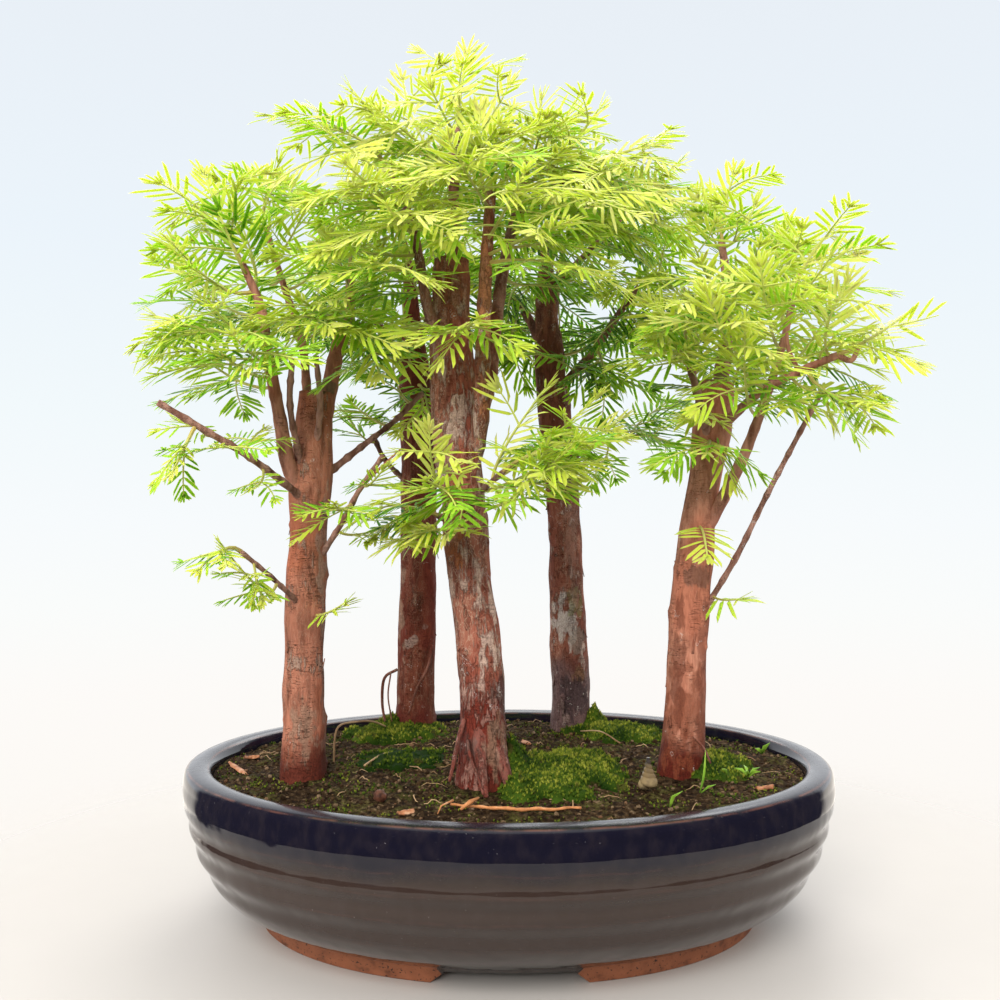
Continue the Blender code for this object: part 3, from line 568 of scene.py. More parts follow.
def makeEarth(values):
    made, tree, shader = newMaterial("pottingSoil", 0.95)
    shader.inputs["Specular IOR Level"].default_value = 0.12
    clods = grain(tree, 520.0, 1.0, 9.0)
    colour = ramp(clods, [(0.36, values["dark"]), (0.55, values["brown"]), (0.72, values["light"])])
    damp = mask(grain(tree, 60.0, 1.0, 3.0, 2.0), 0.35, 0.62)
    colour = blend(times(damp, 0.6), colour, values["dark"])
    green = times(mask(grain(tree, 95.0, 1.0, 7.0, 6.0), 0.50, 0.60), mask(clods, 0.38, 0.56))
    colour = blend(times(green, 0.45), colour, (0.060, 0.068, 0.010))
    cover(shader, colour, clods, 1.0, 0.0030)
    return made


def makeSoil(values):
    half, top, rings = pot["halfWidth"], values["top"], values["rings"]
    profile = [(0.02, top)] + [((half - 10.9) * (ring / rings), top) for ring in range(1, rings + 1)]
    profile += [(half - inset, z) for inset, z in values["insets"]] + [(0.02, values["bottom"])]
    bm = spun(profile, values["steps"], 0.03)
    for vertex in bm.verts:
        drawOut(vertex.co)
        if vertex.co.z > 50.0:
            vertex.co.z = soilHeight(vertex.co.x, vertex.co.y)
    bmesh.ops.recalc_face_normals(bm, faces=bm.faces)
    makePiece("potting_soil", bm, [makeEarth(values)], ["soil"])


def makeGrains(values):
    draw = random.Random(values["seed"])
    bm = bmesh.new()
    bmesh.ops.create_icosphere(bm, subdivisions=1, radius=1.0)
    template = meshFrom(bm, "grain")
    grains = Scatter()
    while len(grains.origins) < values["grains"]:
        x, y = [draw.uniform(-half, half) for half in values["spread"]]
        if not insideSoil(x, y, 1.0):
            continue
        size = values["grainSize"][0] + values["grainSize"][1] * draw.random() ** 3
        axes = turnedAxes(draw, size, draw.uniform(0.5, 1.0))
        grains.add((x, y, soilHeight(x, y) + size * 0.25), axes, draw.random())
    mesh = stampMesh(template, grains)
    setTone(mesh, np.repeat(grains.tones, len(template.vertices)))
    made, tree, shader = newMaterial("soilCrumbs", 0.92)
    shader.inputs["Specular IOR Level"].default_value = 0.12
    colour = ramp(toneOf(tree), [
        (0.0, values["dark"]), (0.62, values["brown"]), (0.90, values["light"]),
        (0.96, (0.13, 0.060, 0.03)), (1.0, (0.26, 0.19, 0.12))])
    spotted = mask(grain(tree, 900.0, 1.0, 3.0), 0.4, 0.7)
    colour = blend(times(spotted, 0.5), colour, values["dark"])
    cover(shader, colour, grain(tree, 1800.0), 0.5, 0.0004)
    makePiece("soil_crumbs", mesh, [made], smooth=False)


# The wood: trunks as (x, y, z, radius), branches as (name, points, first radius, last radius)
trees = {
    "left": {
        "trunk": [
            (-81, -25, 44, 8.6), (-81, -25, 62, 8.9), (-81, -25, 75, 8.4), (-81, -25, 111, 7.6),
            (-80, -24, 146, 7.1), (-79, -24, 170, 6.9), (-78, -24, 190, 6.6), (-77, -23, 213, 6.4)],
        "branches": [
            ("leader", [(-80, -25, 168), (-86, -32, 184), (-88, -38, 201), (-91, -42, 221),
                (-94, -44, 242), (-101, -44, 259)], 3.3, 1.3),
            ("inner", [(-76, -23, 192), (-72, -20, 216), (-69, -18, 233), (-65, -16, 244),
                (-66, -8, 266)], 3.8, 1.5),
            ("middle", [(-80, -22, 200), (-85, -10, 234), (-94, -2, 259), (-104, 4, 288)], 1.9, 1.1),
            ("pruned_left", [(-80, -28, 170), (-95, -55, 185), (-108, -68, 194),
                (-122, -76, 203)], 1.4, 1.1),
            ("low", [(-80, -25, 126), (-89, -44, 140), (-98, -58, 151)], 1.0, 0.8),
            ("right", [(-80, -24, 140), (-66, -30, 160), (-57, -40, 174), (-47, -50, 186)], 1.2, 0.9),
            ("right_back", [(-78, -24, 176), (-61, -10, 192), (-48, 0, 204), (-37, 10, 217)], 1.4, 0.9),
            ("stub_front", [(-80, -27, 176), (-84, -38, 204), (-83, -40, 224)], 1.3, 1.1),
            ("stub_right", [(-77, -26, 186), (-73, -36, 206), (-74, -40, 225)], 1.2, 1.0)]},
    "back_left": {
        "trunk": [
            (-45, 66, 44, 9.4), (-45, 66, 62, 9.6), (-44, 66, 99, 9.0), (-43, 65, 143, 8.6),
            (-43, 64, 181, 8.3), (-44, 63, 220, 8.0), (-46, 61, 254, 4.6), (-48, 61, 283, 2.6),
            (-52, 61, 305, 1.4)],
        "branches": [
            ("outer", [(-44, 63, 226), (-62, 70, 256), (-74, 76, 277)], 2.6, 1.3),
            ("back", [(-45, 62, 240), (-38, 76, 266), (-33, 84, 286)], 2.2, 1.2),
            ("stub", [(-44, 64, 176), (-58, 58, 190), (-64, 56, 202)], 1.3, 1.1)]},
    "centre": {
        "trunk": [
            (-10, -38, 44, 9.8), (-10, -38, 62, 10.6), (-10, -38, 76, 9.2), (-10, -37, 93, 8.6),
            (-12, -36, 116, 8.5), (-14, -35, 131, 8.2), (-16, -34, 147, 7.9), (-18, -33, 170, 7.9),
            (-21, -32, 193, 8.5), (-22, -30, 217, 8.5), (-23, -28, 241, 7.4), (-23, -26, 265, 6.6)],
        "branches": [
            ("leader", [(-23, -26, 256), (-22, -22, 295), (-21, -18, 321)], 2.8, 1.2),
            ("front_right", [(-16, -34, 176), (-11, -42, 200), (-10, -44, 228), (-9, -42, 257),
                (-7, -39, 288)], 3.5, 2.0),
            ("inner_right", [(-15, -30, 188), (-8, -23, 218), (-4, -19, 251), (0, -14, 276),
                (6, -8, 299), (9, -5, 315)], 3.2, 1.2),
            ("outer_right", [(0, -14, 278), (18, -15, 298), (34, -18, 306)], 1.6, 1.1),
            ("left", [(-23, -31, 222), (-31, -38, 243), (-34, -41, 260), (-38, -44, 278),
                (-47, -43, 297)], 2.3, 1.2),
            ("low_right", [(-17, -34, 158), (-13, -48, 170), (-2, -60, 180)], 1.3, 0.9),
            ("low_left", [(-16, -34, 158), (-27, -44, 164)], 1.5, 1.1)]},
    "back_right": {
        "trunk": [
            (31, 66, 44, 9.2), (31, 66, 62, 9.4), (30, 66, 99, 8.9), (29, 66, 128, 8.3),
            (27, 65, 172, 7.6), (24, 64, 206, 7.9), (21, 63, 235, 6.4), (19, 62, 269, 4.6),
            (20, 62, 298, 2.6), (26, 64, 318, 1.4)],
        "branches": [
            ("left", [(19, 62, 240), (10, 68, 262), (0, 73, 274)], 2.6, 1.4),
            ("outer", [(22, 62, 222), (40, 58, 241), (51, 52, 257), (62, 47, 272)], 2.4, 1.4),
            ("upper", [(19, 62, 270), (38, 58, 290), (56, 52, 306)], 1.9, 1.2),
            ("back", [(21, 63, 246), (25, 78, 276), (27, 85, 294)], 1.9, 1.2),
            ("low_right", [(28, 65, 190), (45, 60, 199), (60, 54, 202)], 1.3, 0.9)]},
    "right": {
        "trunk": [
            (68, -22, 44, 8.6), (68, -22, 62, 8.8), (70, -22, 83, 8.0), (71, -22, 110, 7.6),
            (73, -21, 134, 7.5), (76, -20, 162, 6.4), (80, -19, 186, 6.2), (83, -18, 208, 7.0),
            (84, -18, 218, 6.8)],
        "branches": [
            ("leader", [(84, -16, 204), (88, -10, 222), (92, -5, 250), (90, -2, 280)], 3.9, 1.4),
            ("side", [(76, -20, 152), (89, -28, 180), (94, -32, 193), (99, -36, 209), (104, -40, 227),
                (110, -40, 252)], 2.6, 1.1),
            ("pruned_right", [(84, -20, 198), (96, -38, 211), (109, -46, 218),
                (121, -54, 223)], 1.8, 1.3),
            ("bare", [(73, -21, 118), (89, -26, 146), (99, -34, 170), (107, -42, 189),
                (115, -51, 208)], 1.2, 0.9),
            ("stub_left", [(81, -20, 192), (73, -36, 210), (68, -41, 225)], 1.7, 1.2)]},
}
barks = {  # body colours, thresholds for flakes and lichen, strength of cracks, painted patches
    "left": {
        "dark": (0.17, 0.066, 0.040), "warm": (0.395, 0.154, 0.093), "red": (0.42, 0.125, 0.060),
        "pale": (0.40, 0.29, 0.22), "foot": (0.066, 0.015, 0.009), "footTop": 70.0, "flakes": 0.60,
        "lichen": 0.70, "cracks": 0.10, "rings": 0.9, "relief": 0.4, "flare": 0.3,
        "spots": [((-80, -33, 83), (5, 6, 9), (0.34, 0.21, 0.14), 0.60),
                  ((-71, -28, 100), (3, 6, 30), (0.30, 0.17, 0.12), 0.7),
                  ((-72, -30, 148), (2.5, 5, 26), (0.42, 0.29, 0.22), 0.6),
                  ((-77, -23, 215), (8, 8, 2.6), (0.14, 0.11, 0.05), 0.9)]},
    "back_left": {
        "dark": (0.085, 0.024, 0.014), "warm": (0.175, 0.052, 0.030), "red": (0.16, 0.028, 0.018),
        "pale": (0.33, 0.19, 0.125), "foot": (0.080, 0.016, 0.011), "footTop": 66.0, "flakes": 0.68,
        "lichen": 0.66, "cracks": 0.25, "rings": 0.5, "relief": 0.6, "flare": 0.4,
        "spots": [((-53, 58, 128), (3.2, 6, 46), (0.36, 0.21, 0.14), 0.8),
                  ((-46, 56, 104), (3, 3, 3), (0.45, 0.33, 0.26), 0.6),
                  ((-39, 57, 112), (2, 3, 2.5), (0.42, 0.28, 0.22), 0.5)]},
    "centre": {
        "dark": (0.096, 0.032, 0.021), "warm": (0.295, 0.108, 0.068), "red": (0.31, 0.075, 0.045),
        "pale": (0.60, 0.45, 0.355), "foot": (0.098, 0.018, 0.011), "footTop": 97.0, "flakes": 0.495,
        "lichen": 0.60, "cracks": 0.45, "rings": 0.45, "net": 0.75, "relief": 0.9, "flare": 0.3,
        "spots": [((-22, -41, 160), (3.4, 6, 15), (0.46, 0.145, 0.05), 0.7),
                  ((-5.5, -45, 80), (3.5, 6, 11), (0.30, 0.19, 0.12), 0.6),
                  ((-3, -42, 97), (3, 5, 9), (0.07, 0.036, 0.028), 0.6),
                  ((-15, -46, 77), (4, 5, 4), (0.075, 0.05, 0.04), 0.6),
                  # Painted light: this lighter patch lifts the upper trunk where the crown shades it
                  ((-22, -30, 250), (9, 9, 42), (0.46, 0.168, 0.092), 0.7),
                  ((-9.5, -44, 258), (3.6, 6, 44), (0.47, 0.19, 0.085), 0.9)]},
    "back_right": {
        "dark": (0.065, 0.025, 0.018), "warm": (0.250, 0.088, 0.055), "red": (0.19, 0.055, 0.034),
        "pale": (0.64, 0.50, 0.41), "foot": (0.100, 0.057, 0.052), "footTop": 88.0, "flakes": 0.60,
        "lichen": 0.62, "cracks": 0.35, "rings": 0.8, "net": 0.5, "relief": 0.8, "flare": 0.4,
        "spots": [((28, 58, 114), (5, 9, 12), (0.62, 0.54, 0.47), 0.8),
                  ((34, 58, 106), (4, 9, 9), (0.30, 0.23, 0.18), 0.7),
                  ((33, 57, 122), (4, 5, 6), (0.20, 0.19, 0.07), 0.6),
                  ((34.7, 57, 88), (3, 4, 6), (0.22, 0.11, 0.06), 0.9),
                  ((32, 57, 78), (9, 5, 8), (0.035, 0.026, 0.03), 0.6),
                  ((31, 57, 150), (3, 5, 30), (0.36, 0.20, 0.15), 0.5)]},
    "right": {
        "dark": (0.215, 0.079, 0.049), "warm": (0.470, 0.212, 0.135), "red": (0.48, 0.154, 0.086),
        "pale": (0.45, 0.30, 0.22), "foot": (0.060, 0.010, 0.006), "footTop": 73.0, "flakes": 0.74,
        "lichen": 0.66, "cracks": 0.10, "rings": 0.6, "relief": 0.25, "flare": 0.2,
        "spots": [((70, -26, 84), (14, 14, 17), (0.22, 0.060, 0.028), 0.6),
                  ((73, -28, 140), (8, 5, 3.5), (0.16, 0.095, 0.07), 0.6),
                  ((66, -30, 108), (3, 5, 34), (0.16, 0.048, 0.028), 0.6),
                  ((76, -24, 100), (3, 6, 40), (0.17, 0.055, 0.034), 0.5),
                  ((84, -18, 221), (9, 9, 3.0), (0.33, 0.24, 0.15), 0.9)]},
}


def spotMask(tree, centre, size, seed):
    # 1 in a ragged patch round a point, with half sizes in millimetres
    moved = vectorMaths("SUBTRACT", objectPlace(tree), toWorld @ Vector(centre)).outputs[0]
    shaped = vectorMaths("DIVIDE", moved, Vector(size) * mm).outputs[0]
    away = vectorMaths("LENGTH", shaped).outputs["Value"]
    ragged = times(minus(grain(tree, 260.0, 2.0, 7.0, seed), 0.5), 4.0)
    return mask(plus(away, ragged), 1.15, 0.75)


def thinLine(source, centre, width):
    # 1 on the contour where the source passes a value
    return mask(apart(source, centre), width, 0.0)


def makeBark(name, values):
    made, tree, shader = newMaterial("bark_" + name, 0.66)
    shader.inputs["Specular IOR Level"].default_value = 0.20
    seed = sum(map(ord, name)) * 0.1
    fibres = grain(tree, 1200.0, 5.0, 5.0, seed)
    strips = grain(tree, 330.0, 4.0, 6.0, seed + 1.0)
    patches = grain(tree, 120.0, 1.7, 6.0, seed + 2.0)
    crumbs = grain(tree, 1500.0, 1.2, 5.0, seed + 5.0)
    broad = grain(tree, 45.0, 2.2, 3.0, seed + 4.0)
    speckled = mask(crumbs, 0.3, 0.7)
    thin = toneOf(tree)
    colour = ramp(strips, [(0.30, values["dark"]), (0.50, values["warm"]),
                           (0.74, shaded(values["warm"], 1.22))])
    colour = blend(times(mask(broad, 0.44, 0.60), 0.65), colour, values["red"])
    colour = blend(times(mask(fibres, 0.40, 0.70), 0.45), colour, (0.52, 0.42, 0.38), "MULTIPLY")
    # Pale scales of bark
    ragged = plus(patches, times(minus(fibres, 0.5), 0.45))
    flakes = times(mask(ragged, values["flakes"], values["flakes"] + 0.07), mask(strips, 0.40, 0.50),
                   mask(thin, 0.5, 0.2))
    scaleTone = blend(mask(crumbs, 0.35, 0.65), shaded(values["pale"], 0.62), values["pale"])
    colour = blend(times(flakes, 0.72), colour, scaleTone)
    # A net of loose tan fibres
    threads = grain(tree, 420.0, 2.6, 6.0, seed + 9.0)
    net = larger(thinLine(threads, 0.47, 0.022), thinLine(threads, 0.56, 0.018))
    net = times(net, mask(broad, 0.62, 0.42), values.get("net", 0.22))
    colour = blend(net, colour, (0.50, 0.35, 0.24))
    # The foot, and the patches that the photo shows; one lighter patch high on the centre trunk is painted
    # light
    wavy = plus(heightAbove(tree), times(minus(patches, 0.5), 30.0))
    foot = mask(wavy, values["footTop"] + 12.0, values["footTop"] - 4.0)
    footColour = blend(speckled, values["foot"], shaded(values["foot"], 1.8))
    colour = blend(times(foot, minus(1.0, times(flakes, 0.3))), colour, footColour)
    for number, (centre, size, tint, strength) in enumerate(values["spots"]):
        spot = times(spotMask(tree, centre, size, seed + number), strength)
        colour = blend(spot, colour, blend(speckled, shaded(tint, 0.62), tint))
    # Dark lines: shade at the edge of the scales, cracks and rings
    shade = times(thinLine(patches, values["flakes"], 0.010), 0.30)
    cracks = times(thinLine(strips, 0.47, 0.016), values["cracks"])
    rings = times(thinLine(grain(tree, 150.0, 0.13, 4.0, seed + 6.0), 0.52, 0.012),
                  mask(patches, 0.46, 0.56), values["rings"])
    lines = larger(shade, cracks, rings)
    colour = blend(lines, colour, shaded(values["dark"], 0.35))
    # Thin branches are greyer and browner than the trunk
    twigColour = ramp(strips, [(0.35, (0.130, 0.066, 0.048)), (0.60, (0.380, 0.225, 0.175))])
    colour = blend(times(thin, 0.8), colour, twigColour)
    # Lichen: small pale rings and dots, gathered in places
    spots = grain(tree, 300.0, 1.0, 3.0, seed + 3.0)
    dots = mask(spots, values["lichen"] + 0.07, values["lichen"] + 0.09)
    lichen = times(larger(thinLine(spots, values["lichen"], 0.016), dots),
                   mask(grain(tree, 70.0, 1.0, 2.0, seed + 8.0), 0.50, 0.58), 0.65)
    colour = blend(lichen, colour, (0.60, 0.52, 0.46))
    relief = plus(times(fibres, 0.35), times(strips, 0.7), times(flakes, 0.5), times(crumbs, 0.2))
    relief = minus(relief, times(lines, 0.8))
    tree.links.new(minus(0.80, times(foot, 0.25)), shader.inputs["Roughness"])
    cover(shader, colour, relief, 0.9, 0.0012 * (0.4 + 0.6 * values["relief"]))
    return made


def branchPoints(tree, branch):
    # A branch's points and radii; "trunk" names the trunk itself
    if branch == "trunk":
        trunk = trees[tree]["trunk"]
        return [Vector(point[:3]) for point in trunk], [point[3] for point in trunk]
    points, first, last = next(entry[1:] for entry in trees[tree]["branches"] if entry[0] == branch)
    return [Vector(point) for point in points], taper(first, last, len(points))


def taperedLine(points, first, last, step):
    # Rows of x, y, z, radius along a branch
    radii = taper(first, last, len(points))
    return smoothLine([(*point, radius) for point, radius in zip(points, radii)], step)


# How the wood is drawn: steps along it, sides of its tubes, what counts as a thin branch, and
# its knots, rings, collars round the branches and loose flakes
wooden = {
    "trunkStep": 2.1, "branchStep": 1.9, "looseStep": 1.6, "trunkSides": 60, "branchSides": 16,
    "thinSides": 10, "looseSides": 8, "thin": 1.8, "knots": 16, "knotSpread": (1.0, 2.4),
    "knotRise": (0.4, 1.0), "collarSpread": 7.5, "collarRise": 0.9, "ringSpacing": (7.0, 11.0),
    "ringWidth": 1.3, "flakes": 46, "flakeLength": (3.0, 9.0), "flakeWidth": (0.7, 2.0),
}


def barkMesh(line, sides, relief, flare=0.0, knots=()):
    # A tube with fibres, plates and knots; line is rows of x, y, z, radius
    centres = [Vector(row[:3]) for row in line]
    mesh = tubeMesh(centres, line[:, 3], sides)
    lookup = treeOfPoints(centres)
    for vertex in mesh.vertices:
        place = vertex.co.copy()
        middle, index, distance = lookup.find(place)
        radius = line[index][3]
        outward = place - middle
        if outward.length < radius * 0.3:
            continue
        outward = outward.normalized()
        squeezed = Vector((place.x, place.y, place.z / 6.0))
        fibre = noise.noise(squeezed / 1.5) * 0.22 + noise.noise(squeezed / 3.4) * 0.42
        plate = noise.noise(Vector((place.x, place.y, place.z / 2.6)) / 4.5 + Vector((7, 7, 7)))
        plate = 0.32 if plate > 0.08 else 0.0
        lump = noise.noise(place / 15.0) * 0.09 * radius
        swell = (fibre + plate) * relief * min(radius / 6.0, 1.0) + lump
        if flare and place.z < 80.0:
            root = max(0.0, 1.0 - (place.z - 60.0) / 16.0)
            angle = math.atan2(outward.y, outward.x)
            swell += root * root * flare * (0.5 + 1.1 * max(0.0, math.sin(angle * 4.0 + 2.0)))
        for knot, spread, rise in knots:
            away = (place - knot).length / spread
            if away < 2.5:
                swell += rise * math.exp(-away * away)
        vertex.co = place + outward * swell
    return mesh


def flakePlaces(line, count, draw, low, high):
    # Where loose strips of bark stand off the trunk
    rows = [row for row in line if low < row[2] < high]
    loose = Scatter()
    for _ in range(count):
        row = rows[draw.randrange(len(rows))]
        outward = outwards(draw.uniform(0, math.tau))
        along = Vector((draw.uniform(-0.12, 0.12), draw.uniform(-0.12, 0.12), draw.choice((-1, 1))))
        along.normalize()
        across = outward.cross(along).normalized()
        length, width = draw.uniform(*wooden["flakeLength"]), draw.uniform(*wooden["flakeWidth"])
        loose.add(Vector(row[:3]) + outward * (row[3] + 0.15), (along * length, across * width, outward),
                  0.0, (-draw.uniform(0.2, 1.0), 0.0))
    return loose


def flakeTemplate():
    bm = bmesh.new()
    bmesh.ops.create_grid(bm, x_segments=4, y_segments=2, size=0.5)
    for vertex in bm.verts:
        vertex.co.x += 0.5
        vertex.co.y *= 1.0 - 0.55 * vertex.co.x ** 2
        vertex.co.z = -0.5 * (vertex.co.y * 2) ** 2 * 0.3
    thicken(bm, 0.28)
    return meshFrom(bm, "flake")


# Surface roots and small bare twigs: points, first radius, last radius
looseWood = {
    "centre": [
        ([(-17, -43, 87), (-19, -47, 80), (-20.5, -51, 73), (-22, -54, 66.5)], 1.1, 0.6),
        ([(-11, -42, 86), (-11, -47, 76), (-10, -51, 69), (-8.5, -57, 61.5)], 3.6, 0.9),
        ([(-15.5, -46.5, 80), (-14.6, -50, 75), (-12, -54, 69), (-9.5, -58.5, 63.0)], 0.6, 0.45),
        ([(-5, -43, 76), (-2, -46, 69), (0, -49, 62.0)], 3.2, 1.6)],
    "back_left": [
        ([(-53, 62, 90), (-59, 60, 86), (-60, 60, 74), (-58, 58, 64)], 0.8, 0.6),
        ([(-56, 60, 88), (-57, 58, 78), (-55, 57, 66)], 0.4, 0.3),
        ([(-36, 59, 102), (-38, 57, 92), (-43, 56, 82), (-47, 57, 70)], 0.6, 0.5)],
    "left": [([(-57, -40, 174), (-50, -36, 182), (-42, -32, 190)], 0.6, 0.4)],
    "right": [
        ([(72, -30, 78), (76, -31, 73), (78, -33, 68)], 0.5, 0.35),
        ([(109, -46, 218), (104, -50, 226), (103, -51, 234)], 0.9, 0.6),
        ([(121, -54, 223), (126, -54, 221), (128, -56, 226)], 1.2, 0.8)],
}


def makeTree(name, flake):
    draw = random.Random("wood" + name)
    values = barks[name]
    relief, branches = values["relief"], trees[name]["branches"]
    bm = bmesh.new()
    tones = []

    def addWood(mesh, tone):
        bm.from_mesh(mesh)
        tones.extend([tone] * (len(bm.verts) - len(tones)))

    trunk = smoothLine(trees[name]["trunk"], wooden["trunkStep"])
    knots = []
    for _ in range(wooden["knots"]):
        row = trunk[draw.randrange(8, len(trunk) - 4)]
        outward = outwards(draw.uniform(0, math.tau)) * row[3]
        knots.append((Vector(row[:3]) + outward, draw.uniform(*wooden["knotSpread"]),
                      draw.uniform(*wooden["knotRise"])))
    knots += [(Vector(points[0]), wooden["collarSpread"] + first, wooden["collarRise"])
              for label, points, first, last in branches]
    addWood(barkMesh(trunk, wooden["trunkSides"], relief, values["flare"], knots), 0.0)
    for label, points, first, last in branches:
        thin = first < wooden["thin"]
        line = taperedLine(points, first, last, wooden["branchStep"])
        spacing = draw.uniform(*wooden["ringSpacing"])
        for index, row in enumerate(line):
            travelled = index * wooden["branchStep"]
            ring = math.exp(-((travelled % spacing - spacing / 2) / wooden["ringWidth"]) ** 2)
            row[3] *= 1.0 + 0.35 * math.exp(-travelled / 4.0)
            row[3] *= 1.0 + (0.30 if thin else 0.12) * ring
        age = 1.0 if thin else 0.0 if label == "front_right" else 0.4
        addWood(barkMesh(line, wooden["branchSides" if first > 2 else "thinSides"], relief), age)
    for points, first, last in looseWood.get(name, []):
        line = taperedLine(points, first, last, wooden["looseStep"])
        addWood(barkMesh(line, wooden["looseSides"], relief), 0.25)
    loose = flakePlaces(trunk, int(wooden["flakes"] * relief), draw, 66.0, trunk[-1][2] - 6.0)
    addWood(stampMesh(flake, loose), 0.15)
    mesh = meshFrom(bm, name)
    setTone(mesh, tones)
    makePiece("wood_" + name, mesh, [makeBark(name, values)], ["tree_" + name])


# Leafy stems of the frame: tree, branch, [place along the branch's points, x, y, z of the tip]
leafyStems = [
    ("left", "leader", [
        (5, -133, -40, 293), (4.4, -127, -54, 269), (3.6, -139, -46, 241), (2.8, -104, -78, 220)]),
    ("left", "middle", [(3, -93, 0, 319), (2.2, -118, 28, 275)]),
    ("left", "inner", [(4, -60, 16, 302), (2.7, -47, -40, 214), (2.3, -76, -72, 243)]),
    ("left", "pruned_left", [(2.2, -116, -86, 174)]),
    ("left", "low", [(2, -112, -76, 140)]),
    ("left", "right", [(1.6, -62, -70, 168)]),
    ("back_left", "trunk", [(8, -60, 77, 334)]),
    ("back_left", "outer", [(2, -95, 86, 300), (1.3, -92, 40, 272)]),
    ("back_left", "back", [(2, -20, 99, 310)]),
    ("back_left", "trunk", [(5.2, -34, 30, 206)]),
    ("centre", "leader", [(2, -16, -16, 358), (1.4, -65, -30, 338)]),
    ("centre", "left", [(4, -88, -38, 320)]),
    ("centre", "leader", [(1.2, -28, 26, 332)]),
    ("centre", "front_right", [(4, -22, -98, 272)]),
    ("centre", "inner_right", [(5, 14, -8, 346), (4.2, 40, -30, 331)]),
    ("centre", "outer_right", [(2, 66, -22, 317)]),
    ("centre", "front_right", [(3.1, 38, -76, 246)]),
    ("centre", "trunk", [(9.6, -10, -80, 233)]),
    ("centre", "low_right", [(2, 46, -68, 190), (1.1, -30, -80, 179)]),
    ("centre", "low_left", [(1, -46, -66, 152)]),
    ("back_right", "trunk", [(9, 47, 77, 341)]),
    ("back_right", "upper", [(2, 86, 42, 334)]),
    ("back_right", "left", [(2, -8, 52, 300)]),
    ("back_right", "back", [(2, 50, 102, 312)]),
    ("back_right", "outer", [(1.2, 44, 30, 217)]),
    ("back_right", "low_right", [(2, 84, 60, 196)]),
    ("right", "leader", [(3, 98, -6, 312), (2.5, 129, -16, 278), (2.2, 104, 36, 272)]),
    ("right", "side", [(5, 128, -42, 276)]),
    ("right", "pruned_right", [(3, 152, -42, 243), (2.2, 138, -62, 202)]),
    ("right", "stub_left", [(2, 72, -86, 240)]),
    ("right", "trunk", [(6.3, 72, -60, 186)]),
]
leaf = {  # the frame's own rule for its leafy stems
    "gap": 0.3, "bend": 0.35, "length": 12.5, "pitch": 4.0, "petiole": 3.0, "terminal": 7.0,
    "topPairs": 7, "sidePairs": 4, "sweep": math.radians(27), "droop": 0.12,
    "samples": (0.25, 0.5, 0.75, 1.0), "sideAngle": math.radians(52), "sag": 120.0,
    "leafClear": 2.7, "ownClear": 1.7, "woodClear": 1.5, "soilClear": 9.0, "widestWood": 11.0,
    "tries": 400, "strictTries": 300,
}


def treeOfPoints(points):
    lookup = KDTree(len(points))
    for index, point in enumerate(points):
        lookup.insert(point, index)
    lookup.balance()
    return lookup


def stemStart(tree, branch, place, tip):
    points, radii = branchPoints(tree, branch)
    last = len(points) - 1
    if place >= last:
        direction = (points[last] - points[last - 1]).normalized()
        return points[last] + direction * leaf["gap"], direction
    index = int(place)
    share = place - index
    middle = points[index].lerp(points[index + 1], share)
    radius = radii[index] + (radii[index + 1] - radii[index]) * share
    along = (points[index + 1] - points[index]).normalized()
    out = squared(Vector(tip) - middle, along)
    return middle + out * (radius + leaf["gap"]), out


def stemPath(start, out, tip, steps=20):
    bend = start + out * (leaf["bend"] * (tip - start).length)
    path = []
    for index in range(steps + 1):
        t = index / steps
        path.append(start * (1 - t) ** 2 + bend * (2 * t * (1 - t)) + tip * t ** 2)
    return path


def alongPath(path, distance):
    for first, second in zip(path, path[1:]):
        step = (second - first).length
        if distance <= step or second is path[-1]:
            return first + (second - first) * (distance / step), (second - first).normalized()
        distance -= step
    return path[-1], (path[-1] - path[-2]).normalized()


def pathLength(path):
    return sum((second - first).length for first, second in zip(path, path[1:]))


def frondNormal(direction, roll):
    return Matrix.Rotation(roll, 3, direction) @ squared(Vector((0.0, -0.35, 1.0)), direction)


def topFrond(path, roll, pairs):
    end = pathLength(path) - leaf["terminal"]
    places = [end - leaf["pitch"] * pairs - leaf["petiole"]]
    places += [end - leaf["pitch"] * (pairs - index) for index in range(pairs + 1)]
    stations = []
    for place in places:
        point, direction = alongPath(path, place)
        stations.append((point, direction, frondNormal(direction, roll)))
    return stations


def sideFrond(path, place, roll, side, lift, pairs):
    start, direction = alongPath(path, place)
    normal = frondNormal(direction, roll)
    across = normal.cross(direction) * side
    heading = direction * math.cos(leaf["sideAngle"]) + across * math.sin(leaf["sideAngle"])
    heading = (heading + normal * lift).normalized()
    places = [0.0] + [leaf["petiole"] + leaf["pitch"] * index for index in range(pairs + 1)]
    return [(start + heading * place - normal * (place * place / leaf["sag"]), heading, normal)
            for place in places]


def needleLength(share):
    return leaf["length"] * (0.62 + 0.38 * math.sin(math.pi * (0.12 + 0.78 * share)))


def needleTips(stations):
    # Root and tip of every needle of a frond
    pairs = len(stations) - 2
    for index in range(pairs):
        root = (stations[index + 1][0] + stations[index + 2][0]) / 2
        direction, normal = stations[index + 1][1:]
        across = normal.cross(direction)
        length = needleLength((index + 0.5) / pairs)
        for side in (-1, 1):
            heading = across * (side * math.cos(leaf["sweep"])) + direction * math.sin(leaf["sweep"])
            yield root, root + (heading - normal * leaf["droop"]) * length
    point, direction = stations[-1][:2]
    yield point, point + direction * leaf["terminal"]


def woodSamples():
    samples = []
    for tree, pieces in trees.items():
        for branch in ["trunk"] + [entry[0] for entry in pieces["branches"]]:
            points, radii = branchPoints(tree, branch)
            for index in range(len(points) - 1):
                span = (points[index + 1] - points[index]).length
                steps = max(1, int(span / 2.0))
                for step in range(steps + 1):
                    share = step / steps
                    radius = radii[index] + (radii[index + 1] - radii[index]) * share
                    samples.append((points[index].lerp(points[index + 1], share), radius))
    return samples


